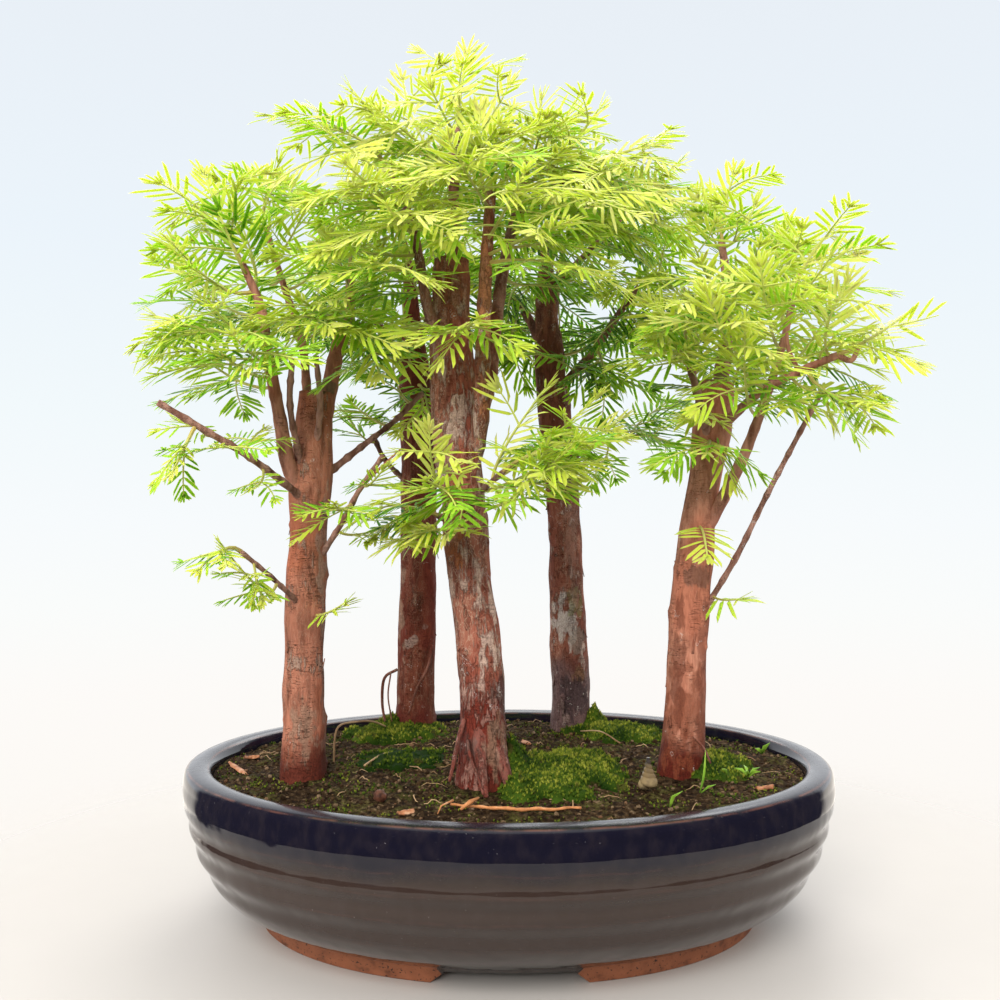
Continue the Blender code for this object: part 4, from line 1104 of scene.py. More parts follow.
wood = woodSamples()
woodLookup = treeOfPoints([point for point, radius in wood])


def needleSamples(stations):
    return [root.lerp(tip, share) for root, tip in needleTips(stations) for share in leaf["samples"]]


def leafSamples(path, fronds):
    samples = path[2::2]
    for stations in fronds:
        samples += [station[0] for station in stations[1:]] + needleSamples(stations)
    return samples


def frondsApart(first, second):
    lookup = treeOfPoints(needleSamples(first))
    return min(lookup.find(point)[2] for point in needleSamples(second)) > leaf["ownClear"]


def clearOfWood(point, margin):
    near = woodLookup.find_range(point, leaf["widestWood"] + margin)
    return all(distance >= wood[found][1] + margin for place, found, distance in near)


def isClear(samples, leavesLookup):
    for index, point in enumerate(samples):
        if point.z < ground(point.x, point.y) + leaf["soilClear"]:
            return False
        if leavesLookup and leavesLookup.find(point)[2] < leaf["leafClear"]:
            return False
        if index >= 2 and not clearOfWood(point, leaf["woodClear"]):
            return False
    return True


def growStem(number, tree, branch, place, tip, leaves):
    # The same draws as the frame's, so each spray grows along its own packed stem
    draw = random.Random(number)
    leavesLookup = treeOfPoints(leaves) if leaves else None
    start, out = stemStart(tree, branch, place, tip)
    for attempt in range(leaf["tries"]):
        spread = 2.0 + attempt * 0.05
        moved = tip + Vector([draw.uniform(-spread, spread) for axis in range(3)])
        roll = math.radians(draw.uniform(-20 - attempt * 0.2, 20 + attempt * 0.2))
        side = draw.choice((-1, 1))
        lift = draw.uniform(-0.7, 0.7)
        share = draw.uniform(0.1, 0.4)
        path = stemPath(start, out, moved)
        length = pathLength(path)
        pairs = min(leaf["topPairs"],
                    int((length - leaf["terminal"] - leaf["petiole"] - 4.0) / leaf["pitch"]))
        fronds = [topFrond(path, roll, pairs),
                  sideFrond(path, length * share, roll, side, lift, leaf["sidePairs"])]
        if attempt < leaf["strictTries"] and not frondsApart(*fronds):
            continue
        samples = leafSamples(path, fronds)
        if isClear(samples, leavesLookup):
            break
    return path, fronds, samples


# Needles
needle = {
    "width": 1.75, "thickness": 0.26, "pitch": 3.0, "stretch": 1.24,
    "tones": [(0.0, (0.008, 0.040, 0.003)), (0.24, (0.036, 0.175, 0.006)),
              (0.51, (0.225, 0.490, 0.020)), (0.72, (0.475, 0.585, 0.050)),
              (1.0, (0.555, 0.590, 0.125))],
    "stemYoung": (0.56, 0.63, 0.12), "stemRed": (0.46, 0.27, 0.09),
    "fine": {"trunk": 0.8, "pruned_left": 0.56, "low": 0.58, "right": 0.62, "right_back": 0.75},
    "clearing": ((-16.0, -3.0), -46.0, (238.0, 284.0)),  # a gap in front of one bright branch
    "reachLow": (-147.0, -109.5, 66.0), "reachHigh": (156.5, 116.0, 362.5),
    "woodClear": 1.2, "soilClear": 12.0, "turnOut": math.radians(26), "sideLength": 27.0,
    "sideSpacing": 11.0, "sideSpan": (0.2, 0.72), "stemRadii": (0.85, 0.40), "ribRadii": (0.42, 0.22),
    "seed": 1000, "missing": 0.025, "sideMissing": 0.08, "steep": 0.72,
    "endTurns": (-0.85, -0.45, -0.08, 0.3, 0.7),  # the fan of needles at the end of a frond
}


def makeNeedleFinish(values):
    made, tree, shader = newMaterial("softNeedles", 0.48)
    patchy = plus(times(grain(tree, 110.0), 0.24), -0.12)
    colour = ramp(plus(toneOf(tree), patchy), values["tones"])
    streak = mask(grain(tree, 1400.0, 1.0, 2.0, 4.0), 0.4, 0.75)
    colour = blend(times(streak, 0.15), colour, (0.62, 0.78, 0.16))
    shader.inputs["Subsurface Weight"].default_value = 0.62
    shader.inputs["Subsurface Radius"].default_value = (0.66, 1.0, 0.16)
    shader.inputs["Subsurface Scale"].default_value = 0.0016
    shader.inputs["Specular IOR Level"].default_value = 0.12
    cover(shader, colour, grain(tree, 2200.0, 1.0, 2.0), 0.15, 0.0003)
    return made


def makeStemFinish(values):
    made, tree, shader = newMaterial("greenStem", 0.5)
    colour = ramp(toneOf(tree), [(0.0, values["stemRed"]), (0.4, (0.44, 0.44, 0.10)),
                                 (1.0, values["stemYoung"])])
    fibre = mask(grain(tree, 1500.0), 0.35, 0.7)
    colour = blend(times(fibre, 0.2), colour, (0.36, 0.22, 0.08))
    cover(shader, colour, fibre, 0.3, 0.0003)
    return made


def needleTemplate():
    # A three-sided blade along x: flat above, keeled below and pointed at both ends
    bm = bmesh.new()
    bmesh.ops.create_cone(bm, cap_ends=True, segments=3, radius1=1.0, radius2=1.0, depth=1.0)
    caps = [face for face in bm.faces if len(face.verts) == 3]
    points = bmesh.ops.poke(bm, faces=caps)["verts"]
    corners = [(-0.5, 0.0), (0.5, 0.0), (0.0, -1.0)]
    for vertex in bm.verts:
        far = vertex.co.z > 0
        if vertex in points:
            vertex.co = Vector((1.0, 0.0, -0.1)) if far else Vector((0.0, 0.0, -0.3))
            continue
        y, z = corners[round(math.atan2(vertex.co.y, vertex.co.x) / (math.tau / 3)) % 3]
        width = 0.80 if far else 0.94
        vertex.co = Vector((0.82 if far else 0.22, y * width, z * width))
    bmesh.ops.recalc_face_normals(bm, faces=bm.faces)
    bmesh.ops.triangulate(bm, faces=bm.faces)
    return meshFrom(bm, "needle")


class Spray(Scatter):
    # The needles and the ribs of one spray, until it becomes a piece
    def __init__(self):
        super().__init__()
        self.tubes = []


def insideReach(point):
    return all(low < part < high for low, part, high in
               zip(needle["reachLow"], point, needle["reachHigh"]))


def fineness(tree, branch):
    return needle["fine"].get(branch, 1.0) if tree == "left" else 1.0


def addNeedle(spray, root, heading, normal, length, width, bend, sway, tone):
    middle = root + heading * (length / 2)
    (left, right), front, (low, high) = needle["clearing"]
    hiding = left < middle.x < right and middle.y < front and low < middle.z < high
    if hiding or not insideReach(root + heading * length):
        return
    across = normal.cross(heading).normalized()
    top = heading.cross(across).normalized()
    axes = heading.normalized() * length, across * width, top * needle["thickness"]
    spray.add(root, axes, tone, (bend * length / needle["thickness"], sway * length / width))


def addRib(spray, points, first, last, sides, toneFirst, toneLast):
    mesh = tubeMesh(points, taper(first, last, len(points)), sides)
    span = max((points[-1] - points[0]).length, 0.1)
    spray.tubes.append((mesh, toneFirst, toneLast, points[0], span))


def addFrond(spray, stations, tone, draw, size=1.0, ribbed=True):
    # stations: the rib as (point, direction, normal); needles stand in pairs from its petiole on
    points = [station[0] for station in stations]
    length = pathLength(points)
    if ribbed:
        addRib(spray, points, *needle["ribRadii"], 4, 0.55 + 0.3 * tone, 1.0)
    pitch = needle["pitch"] * draw.uniform(0.92, 1.12) * (0.5 + 0.5 * size)
    start = leaf["petiole"] * draw.uniform(0.5, 1.0)
    pairs = max(3, int((length - start) / pitch))
    lean, fold = draw.uniform(-0.10, 0.16), draw.uniform(-0.05, 0.22)
    tone += draw.uniform(-0.16, 0.13)
    young = draw.uniform(0.9, 1.5)
    for index in range(pairs):
        share = (index + 0.5) / pairs
        root, direction = alongPath(points, start + (length - start) * share)
        normal = stations[min(int(share * (len(stations) - 1)) + 1, len(stations) - 1)][2]
        across = normal.cross(direction).normalized()
        sweep = math.radians(20 + 44 * share ** young)
        for side in (-1, 1):
            if draw.random() < needle["missing"]:
                continue
            turn = sweep + draw.uniform(-0.12, 0.12)
            heading = across * (side * math.cos(turn)) + direction * math.sin(turn)
            heading = (heading + normal * (fold - lean + draw.uniform(-0.09, 0.09))).normalized()
            reach = needleLength(share) * size * needle["stretch"] * draw.uniform(0.86, 1.06)
            if share > 0.75:
                reach *= 1.0 - (share - 0.75) * 1.7
            tilt = Matrix.Rotation(draw.uniform(-0.3, 0.3), 3, heading) @ normal
            broad = needle["width"] * (0.45 + 0.55 * size) * draw.uniform(0.8, 1.1)
            addNeedle(spray, root, heading, tilt, reach, broad,
                      draw.uniform(0.02, 0.36), side * draw.uniform(-0.28, 0.02),
                      tone + draw.uniform(-0.08, 0.08) + 0.24 * share - 0.06)
    end, direction = alongPath(points, length)
    normal = stations[-1][2]
    for turn in needle["endTurns"]:
        heading = Matrix.Rotation(turn + draw.uniform(-0.1, 0.1), 3, normal) @ direction
        heading = (heading + normal * draw.uniform(-0.15, 0.35)).normalized()
        addNeedle(spray, end, heading, normal, leaf["terminal"] * draw.uniform(0.85, 1.25) * size,
                  needle["width"] * 0.75 * (0.45 + 0.55 * size), 0.05, 0.0, tone + 0.20)


def turnedOut(heading, place):
    # The roll that turns a frond's face away from the middle of the planting
    outward = Vector((place.x, place.y, 0.0)).normalized()
    return needle["turnOut"] * heading.cross(squared(up, heading)).dot(outward)


def makeSide(start, direction, across, length, droop, draw):
    # The rib of a side frond: it leaves the stem, levels out and hangs a little at its end
    heading = (direction * math.cos(leaf["sideAngle"]) + across * math.sin(leaf["sideAngle"]))
    heading.z = heading.z * 0.55 + draw.uniform(-0.34, 0.12)
    heading.normalize()
    roll = math.radians(draw.uniform(-30, 30)) + turnedOut(heading, start)
    normal = Matrix.Rotation(roll, 3, heading) @ squared(up, heading)
    curve = draw.uniform(-0.25, 0.25)
    sideways = normal.cross(heading)
    steps = max(4, int(length / 5.0))
    points = []
    for index in range(steps + 1):
        place = length * index / steps
        point = start + heading * place - up * (place * place / droop) + sideways * (
            curve * place * place / length)
        if not insideReach(point):
            break
        points.append(point)
    if len(points) < 3:
        return []
    rib = []
    for index, point in enumerate(points):
        forward = headingAt(points, index)
        rib.append((point, forward, squared(normal, forward)))
    return rib


def ribClear(points):
    return all(clearOfWood(point, needle["woodClear"])
               and point.z >= ground(point.x, point.y) + needle["soilClear"] for point in points[2:])


def addSideFronds(spray, path, draw, tone, size, span, spacing, fine=1.0):
    # Opposite pairs of fronds along a stem; each pair on a steep stem is turned from the last
    length = pathLength(path)
    place = length * span[0] + draw.uniform(0, spacing * 0.5)
    turn = draw.uniform(0, math.pi)
    while place < length * span[1]:
        point, direction = alongPath(path, place)
        share = place / length
        across = up.cross(direction)
        across = across.normalized() if across.length > 0.05 else Vector((1.0, 0.0, 0.0))
        if abs(direction.z) > needle["steep"]:
            across = Matrix.Rotation(turn, 3, direction) @ across
            turn += math.radians(90 + draw.uniform(-18, 18))
        for side in (-1, 1):
            if draw.random() < needle["sideMissing"]:
                continue
            reach = size * (1.08 - 0.5 * share) * draw.uniform(0.72, 1.15)
            rib = makeSide(point, direction, across * side, reach, draw.uniform(90, 240), draw)
            if rib and ribClear([station[0] for station in rib]):
                # Painted shade: fronds near the stem's root, deep in the crown, get darker needles
                addFrond(spray, rib, tone - 0.46 + 0.68 * share, draw, draw.uniform(0.80, 1.0) * fine)
        place += spacing * draw.uniform(0.8, 1.2)


def finishSpray(spray, name, nodes=()):
    bm = bmesh.new()
    tones = []
    for mesh, first, last, origin, length in spray.tubes:
        bm.from_mesh(mesh)
        shares = np.linalg.norm(meshPoints(mesh) - np.array(origin), axis=1) / length
        tones += list(first + (last - first) * np.clip(shares, 0, 1))
        bpy.data.meshes.remove(mesh)
    woodFaces = len(bm.faces)
    stamped = stampMesh(needleShape, spray)
    bm.from_mesh(stamped)
    bpy.data.meshes.remove(stamped)
    faces = len(bm.faces)
    mesh = meshFrom(bm, name)
    setTone(mesh, tones + list(np.repeat(spray.tones, len(needleShape.vertices))))
    mesh.polygons.foreach_set("material_index", [1] * woodFaces + [0] * (faces - woodFaces))
    makePiece(name, mesh, [needleFinish, stemFinish], nodes, False)


def stemToneAndPaintedLight(tree, tip):
    # Painted light and shade: lighter high up (where young growth is too), at the front and at the far
    # right; darker on the back trees
    tone = 0.42 + 0.40 * min(max((tip.z - 190) / 150, 0.0), 1.0)
    if tip.y < -40:
        tone += 0.12
    if tip.x > 110:
        tone += 0.10
    if tree.startswith("back"):
        tone -= 0.18
    return tone


def makeSprays():
    leaves, counts = [], {}
    stems = [(tree, branch, place, Vector(tip)) for tree, branch, rows in leafyStems
             for place, *tip in rows]
    for number, (tree, branch, place, tip) in enumerate(stems):
        path, fronds, samples = growStem(number, tree, branch, place, tip, leaves)
        leaves += samples
        counts[tree] = counts.get(tree, 0) + 1
        label = tree + "_" + str(counts[tree])
        draw = random.Random(needle["seed"] + number)
        spray = Spray()
        tone = stemToneAndPaintedLight(tree, path[-1])
        reach = pathLength(path) - leaf["terminal"]
        stem = [alongPath(path, reach * index / 8)[0] for index in range(9)]
        stem[0] = stem[0] - (stem[1] - stem[0]).normalized()
        addRib(spray, stem, *needle["stemRadii"], 6, 0.1, 0.9)
        fine = fineness(tree, branch)
        for stations in fronds:
            addFrond(spray, stations, tone + 0.06, draw, fine)
        addSideFronds(spray, path, draw, tone, needle["sideLength"] * fine, needle["sideSpan"],
                      needle["sideSpacing"], fine)
        finishSpray(spray, "spray_" + label, ["leafy_stem_" + label])


# Shoots that fill the crowns
crowns = {
    "seed": 77000, "steps": 12, "tries": 12, "frondLength": 38.0, "sideStretch": 1.16,
    "sideSpacing": 12.0, "sideSpan": (0.2, 0.84),
    # The tone column also paints shade and light: low inside the crown and on the back trees, high at the
    # front
    "shoots": [  # tree, branch, [place along it, x, y, z of the tip, tone, length of side fronds]
        ("left", "leader", [
            (4.8, -114, -50, 291, 0.62, 26), (4.6, -107, -30, 283, 0.58, 28),
            (4, -132, -20, 266, 0.58, 28), (3.4, -108, -70, 240, 0.66, 28),
            (3, -94, -84, 225, 0.66, 24), (2.6, -131, -30, 236, 0.55, 26)]),
        ("left", "middle", [
            (2.9, -104, 0, 307, 0.58, 24), (2.5, -84, -10, 292, 0.55, 28), (2, -75, 10, 285, 0.5, 30),
            (1.6, -113, 20, 260, 0.48, 30), (1.2, -80, 30, 265, 0.44, 30)]),
        ("left", "inner", [
            (3.6, -67, -50, 268, 0.62, 28), (3.2, -55, -20, 266, 0.55, 28),
            (3, -79, -60, 233, 0.68, 28), (2.5, -59, -62, 231, 0.64, 26), (2.2, -49, 0, 245, 0.5, 28)]),
        ("left", "right_back", [
            (2.6, -51, 20, 237, 0.46, 22), (1.8, -70, 25, 215, 0.44, 22), (2.9, -47, 0, 200, 0.55, 18)]),
        ("left", "pruned_left", [
            (1.5, -99, -80, 188, 0.62, 20), (2.1, -118, -64, 194, 0.6, 18),
            (1.1, -94, -40, 197, 0.52, 20), (0.8, -91, -70, 173, 0.58, 16)]),
        ("left", "low", [(0.9, -101, -72, 154, 0.66, 16), (1.6, -89, -62, 134, 0.6, 12)]),
        ("left", "right", [(0.9, -46, -30, 161, 0.6, 14), (2.2, -46, -56, 181, 0.6, 14)]),
        ("left", "trunk", [(3.4, -62, -44, 131, 0.62, 0)]),
        ("back_left", "trunk", [
            (7.5, -73, 60, 322, 0.42, 28), (7, -39, 66, 339, 0.42, 30), (6.5, -64, 46, 297, 0.38, 30),
            (6.2, -31, 90, 308, 0.34, 30), (5.8, -80, 42, 247, 0.36, 28), (5.5, -49, 42, 264, 0.34, 30)]),
        ("back_left", "outer", [
            (1.8, -105, 84, 298, 0.4, 28), (1, -87, 60, 268, 0.36, 30), (0.6, -81, 76, 241, 0.34, 26)]),
        ("back_left", "back", [(1.5, -19, 100, 297, 0.32, 28), (0.8, -28, 94, 260, 0.3, 28)]),
        ("back_left", "stub", [(1.8, -73, 50, 209, 0.36, 20)]),
        ("back_left", "outer", [(1.5, -81, 100, 306, 0.36, 28)]),
        ("back_left", "back", [(1.8, -48, 102, 317, 0.34, 28)]),
        ("centre", "leader", [
            (1.9, -30, -40, 328, 0.8, 26), (1.8, 0, -20, 338, 0.76, 26), (1.6, -45, 0, 349, 0.74, 28),
            (1.3, -47, -60, 311, 0.82, 30), (1.1, -4, -60, 306, 0.82, 30), (0.9, -39, 20, 327, 0.6, 30),
            (0.7, -13, 30, 314, 0.55, 30), (0.6, -39, -70, 286, 0.78, 30)]),
        ("centre", "left", [
            (3.8, -64, -70, 300, 0.8, 28), (3.4, -80, -30, 292, 0.68, 30), (3, -55, -90, 281, 0.8, 30),
            (2.6, -41, -94, 266, 0.8, 30), (2.2, -68, -60, 263, 0.7, 28),
            (1.8, -47, -80, 251, 0.74, 28), (1.3, -44, -10, 272, 0.56, 28)]),
        ("centre", "front_right", [
            (3.9, -11, -50, 315, 0.8, 28), (3.8, -21, -80, 293, 0.84, 30), (3.4, 5, -92, 278, 0.8, 30),
            (3.2, 19, -84, 263, 0.76, 28)]),
        ("centre", "inner_right", [
            (4.8, 27, -20, 332, 0.78, 28), (4.5, 2, 20, 344, 0.64, 30), (4, 20, -52, 300, 0.78, 30),
            (3.6, 41, 10, 309, 0.62, 30), (3.2, 17, 34, 303, 0.5, 30), (2.9, 39, -34, 274, 0.64, 30),
            (2.4, 24, 20, 272, 0.5, 28), (4.4, 14, -44, 315, 0.82, 26)]),
        ("centre", "outer_right", [
            (1.9, 52, -30, 307, 0.76, 30), (1.7, 63, 0, 301, 0.66, 30), (1.4, 40, -62, 290, 0.8, 30),
            (1.1, 51, -40, 270, 0.66, 28), (0.8, 34, 20, 320, 0.62, 28), (1.5, 29, -84, 269, 0.78, 28),
            (1.8, 56, -50, 272, 0.68, 28), (1, 22, 0, 328, 0.72, 28)]),
        ("centre", "low_right", [
            (1.8, 30, -72, 205, 0.74, 22), (1.6, 13, -60, 210, 0.76, 22), (1.3, 42, -46, 200, 0.68, 20),
            (0.9, 12, -78, 186, 0.76, 18), (0.7, -28, -76, 193, 0.76, 16),
            (1.9, 22, -84, 189, 0.74, 18)]),
        ("centre", "low_left", [(0.7, -28, -62, 159, 0.7, 10), (0.9, -41, -50, 155, 0.68, 10)]),
        ("back_right", "trunk", [
            (8.6, 41, 62, 338, 0.44, 28), (8.2, 67, 80, 336, 0.42, 28), (7.6, 8, 84, 322, 0.36, 30),
            (7.2, 44, 46, 293, 0.38, 30), (6.8, -1, 60, 287, 0.32, 30), (6.2, 70, 70, 289, 0.36, 30)]),
        ("back_right", "upper", [
            (1.8, 89, 60, 315, 0.46, 26), (1.4, 72, 40, 292, 0.42, 28), (1, 70, 56, 316, 0.42, 28)]),
        ("back_right", "outer", [
            (2.8, 76, 40, 264, 0.38, 28), (2.4, 60, 30, 247, 0.34, 28), (2, 88, 60, 253, 0.34, 26),
            (1.6, 48, 84, 258, 0.3, 28), (1, 53, 44, 227, 0.3, 26)]),
        ("back_right", "left", [
            (1.8, 1, 84, 258, 0.28, 26), (1.2, 9, 60, 227, 0.26, 24), (0.6, 13, 92, 274, 0.28, 26)]),
        ("back_right", "back", [(1.5, 50, 102, 278, 0.3, 28), (1, 28, 100, 256, 0.28, 26)]),
        ("back_right", "low_right", [
            (1.5, 68, 52, 205, 0.34, 24), (1.2, 46, 62, 190, 0.3, 18), (1.9, 79, 70, 220, 0.34, 24),
            (0.8, 6, 40, 194, 0.3, 20)]),
        ("back_right", "outer", [(0.6, 6, 44, 241, 0.3, 22)]),
        ("right", "leader", [
            (2.9, 102, -10, 292, 0.68, 22), (2.7, 90, 10, 296, 0.62, 24), (2.4, 121, 10, 291, 0.62, 26),
            (2.2, 74, -20, 275, 0.66, 26), (2, 91, -60, 262, 0.76, 26), (1.8, 69, -62, 255, 0.76, 28),
            (1.5, 60, -30, 256, 0.64, 28), (1.3, 111, 32, 270, 0.5, 28), (1, 59, -60, 238, 0.72, 26),
            (0.8, 126, 24, 264, 0.5, 26), (0.5, 105, 20, 246, 0.48, 24), (1.9, 56, 0, 274, 0.55, 26)]),
        ("right", "side", [
            (4.8, 116, -60, 257, 0.7, 24), (4.4, 114, -20, 271, 0.64, 26), (4, 87, -76, 250, 0.78, 28),
            (3.6, 134, -20, 254, 0.62, 24), (3.2, 66, -86, 239, 0.76, 26),
            (2.6, 81, -78, 228, 0.72, 20)]),
        ("right", "pruned_right", [
            (2.6, 126, -62, 230, 0.68, 20), (2.3, 137, -20, 230, 0.6, 20),
            (2.8, 119, -70, 246, 0.68, 16), (1.8, 134, -48, 210, 0.62, 16),
            (1.4, 115, -30, 235, 0.6, 22), (1.1, 105, -60, 206, 0.62, 14)]),
        ("right", "stub_left", [
            (1.8, 55, -60, 240, 0.72, 20), (1.5, 69, -40, 246, 0.68, 20), (1.9, 52, -62, 227, 0.68, 16)]),
        ("right", "trunk", [
            (7.5, 79, 10, 238, 0.5, 22), (6.8, 70, -56, 199, 0.72, 10), (4.9, 73, -52, 149, 0.66, 0)]),
        ("right", "bare", [(0.5, 87, -40, 132, 0.66, 0)]),
    ],
}


def addShoot(spray, tree, branch, place, tip, tone, size, draw):
    start, out = stemStart(tree, branch, place, tip)
    steps = crowns["steps"]
    path = stemPath(start - out * 0.8, out, tip, steps)
    if not ribClear(path):
        return False
    length = pathLength(path)
    addRib(spray, path, 0.45 + length * 0.006, 0.34, 5, 0.25, 1.0)
    roll = draw.uniform(-0.4, 0.4)
    first = max(1, steps - round(steps * crowns["frondLength"] / length))
    rib = []
    for index in range(first, steps + 1):
        forward = headingAt(path, index)
        rib.append((path[index], forward, frondNormal(forward, roll)))
    fine = fineness(tree, branch)
    # Painted light: needles at the far right are lighter, and higher shoots lighter too (young growth as
    # well); the left tree's are a little yellower
    tone += 0.10 if tip.x > 110 else 0.05 if tree == "left" else 0.0
    tone += min(max((tip.z - 290.0) / 350.0, -0.03), 0.14)
    addFrond(spray, rib, tone + 0.06, draw, fine, False)
    if size:
        size = size * crowns["sideStretch"] * (0.4 + 0.6 * fine)
        addSideFronds(spray, path, draw, tone, size, crowns["sideSpan"], crowns["sideSpacing"],
                      fine)
    return True


def makeCrowns(values):
    sprays, missed = {}, []
    shoots = [(tree, branch, *row) for tree, branch, rows in values["shoots"] for row in rows]
    for number, (tree, branch, place, x, y, z, tone, size) in enumerate(shoots):
        draw = random.Random(values["seed"] + number)
        spray = sprays.setdefault((tree, branch), Spray())
        for attempt in range(values["tries"]):
            spread = attempt * 1.5
            moved = Vector((x, y, z)) + Vector([draw.uniform(-spread, spread) for axis in range(3)])
            if addShoot(spray, tree, branch, place, moved, tone + draw.uniform(-0.04, 0.04), size, draw):
                break
        else:
            missed.append((tree, branch, place))
    for (tree, branch), spray in sprays.items():
        if spray.origins:
            finishSpray(spray, "crown_" + tree + "_" + branch)
    print("shoots without room:", missed)


# Moss cushions: name, x, y, half length, half width, turn in degrees, height
mossPads = [
    ("moss_centre", 20, -28, 34, 26, 62, 5.5),
    ("moss_left", -44, -4, 21, 17, 10, 1.8),
    ("moss_right", 84, -12, 25, 14, 80, 3.6),
    ("moss_back_left", -52, 50, 25, 20, 25, 4.0),
    ("moss_back_right", 52, 50, 25, 18, -20, 4.6),
]
moss = {
    "edge": 0.5, "outline": [(0.0, 1.0), (0.5, 0.8), (0.84, 0.38), (1.0, 0.0)], "spacing": 1.15,
    "thinBelow": 2.5, "segments": 56, "seed": 5, "strays": 3900,
    "spread": (120, 90), "tuftBlades": 4, "tuftRadius": 0.22,
    "mounds": [(1, -34, 14, 18), (3, -51, 9, 8), (42, 62, 12, 14), (77, -24, 10, 11), (-56, 62, 15, 9)],
    "deep": (0.008, 0.022, 0.002), "green": (0.046, 0.082, 0.007), "bright": (0.170, 0.198, 0.018),
    "yellow": (0.30, 0.30, 0.04),
}


def mossLump(x, y):
    return noise.noise(Vector((x, y, 0)) / 5.5) * 1.3 + noise.noise(Vector((x, y, 3)) / 1.9) * 0.6


def turned(x, y, angle):
    return x * math.cos(angle) - y * math.sin(angle), x * math.sin(angle) + y * math.cos(angle)


def padHeight(pad, x, y):
    # A cushion's height over the soil at a point, or None outside it
    centreX, centreY, halfLength, halfWidth, turn, height = pad[1:]
    along, across = turned(x - centreX, y - centreY, -math.radians(turn))
    ragged = 0.96 + 0.42 * noise.noise(Vector((x, y, 1)) / 10.0) + 0.2 * noise.noise(
        Vector((x, y, 5)) / 3.3)
    share = math.hypot(along / halfLength, across / halfWidth) / max(ragged, 0.4)
    rise = None
    for (first, low), (second, high) in zip(moss["outline"], moss["outline"][1:]):
        if first <= share < second:
            rise = low + (high - low) * (share - first) / (second - first)
            rise = moss["edge"] * min(1.0, (1 - share) * 5) + rise * height
    for moundX, moundY, radius, top in moss["mounds"]:
        if math.hypot(moundX - centreX, moundY - centreY) < halfLength:
            away = math.hypot(x - moundX, y - moundY) / (radius * max(ragged, 0.6))
            if away < 1.0:
                rise = max(rise or 0.0, top * (1.0 - away) ** 1.3)
    return rise


def tuftTemplate():
    # A few narrow cones that lean outwards from one root
    draw = random.Random(3)
    bm = bmesh.new()
    blades = moss["tuftBlades"]
    for index in range(blades):
        made = bmesh.ops.create_cone(bm, cap_ends=True, segments=3, radius1=moss["tuftRadius"],
                                     radius2=0.0, depth=1.0)["verts"]
        bmesh.ops.translate(bm, verts=made, vec=(0, 0, 0.5))
        lean = Matrix.Rotation(draw.uniform(0.15, 0.75), 3, "X")
        spin = Matrix.Rotation(index * math.tau / blades + draw.uniform(-0.3, 0.3), 3, "Z")
        bmesh.ops.transform(bm, matrix=(spin @ lean).to_4x4(), verts=made)
    return meshFrom(bm, "tuft")


def tuftTones(tuft, tufts):
    # Every tuft is lighter towards its tips
    heights = np.clip(meshPoints(tuft)[:, 2], 0, 1) * 0.35
    return (np.array(tufts.tones)[:, None] + heights[None]).ravel()


def makeMossFinish(values):
    made, tree, shader = newMaterial("livingMoss", 0.9)
    shader.inputs["Specular IOR Level"].default_value = 0.15
    spread = times(minus(grain(tree, 75.0, 1.0, 5.0), 0.5), 1.5)
    colour = ramp(plus(toneOf(tree), spread), [
        (0.0, values["deep"]), (0.45, values["green"]), (0.85, values["bright"]),
        (1.0, values["yellow"])])
    brown = mask(grain(tree, 160.0, 1.0, 4.0, 7.0), 0.60, 0.68)
    colour = blend(times(brown, 0.6), colour, (0.055, 0.035, 0.012))
    cover(shader, colour, grain(tree, 1500.0), 0.6, 0.0008)
    return made


def makeCushion(pad, values, finish, tuft):
    name, padX, padY, halfLength, halfWidth, turn, height = pad
    low = height < values["thinBelow"]
    halves = halfLength * 1.12 + 3, halfWidth * 1.12 + 3
    bm = bmesh.new()
    bmesh.ops.create_grid(bm, x_segments=values["segments"], y_segments=values["segments"], size=1.0)
    for vertex in bm.verts:
        # The square grid is drawn into a disc, then laid over the soil as the cushion
        u, v = vertex.co.x, vertex.co.y
        discX, discY = u * math.sqrt(1 - v * v / 2), v * math.sqrt(1 - u * u / 2)
        x, y = turned(discX * halves[0], discY * halves[1], math.radians(turn))
        x, y = padX + x, padY + y
        rise = padHeight(pad, x, y)
        z = ground(x, y) + (rise + mossLump(x, y) * min(1.0, rise) if rise is not None else -2.6)
        vertex.co = Vector((x, y, z))
    tones = [-0.3 if low else 0.25] * len(bm.verts)
    tufts = Scatter()
    draw = random.Random(name)
    span = max(halves)
    steps = int(2 * span / values["spacing"])
    for i in range(steps):
        for j in range(steps):
            x = padX - span + (i + draw.uniform(-0.5, 0.5)) * values["spacing"]
            y = padY - span + (j + draw.uniform(-0.5, 0.5)) * values["spacing"]
            rise = padHeight(pad, x, y)
            thinPatch = low and noise.noise(Vector((x, y, 6)) / 5.0) < 0.02
            if rise is None or thinPatch or not insideSoil(x, y, 0.5):
                continue
            lumps = mossLump(x, y)
            size = draw.uniform(0.75, 1.8) * (0.6 + 0.4 * min(1.0, rise))
            spin = Matrix.Rotation(draw.uniform(0, math.tau), 3, "Z")
            tall = Vector((draw.uniform(-0.3, 0.3), draw.uniform(-0.3, 0.3), 1.0)) * size
            axes = spin.col[0] * size, spin.col[1] * size, tall * draw.uniform(0.8, 1.5)
            tufts.add((x, y, ground(x, y) + rise + lumps * min(1.0, rise) - 0.3), axes,
                      draw.uniform(0.12, 0.75) + 0.18 * lumps - (0.25 if low else 0.0))
    bm.from_mesh(stampMesh(tuft, tufts))
    mesh = meshFrom(bm, name)
    setTone(mesh, tones + list(tuftTones(tuft, tufts)))
    makePiece("cushion_" + name, mesh, [finish], [name])


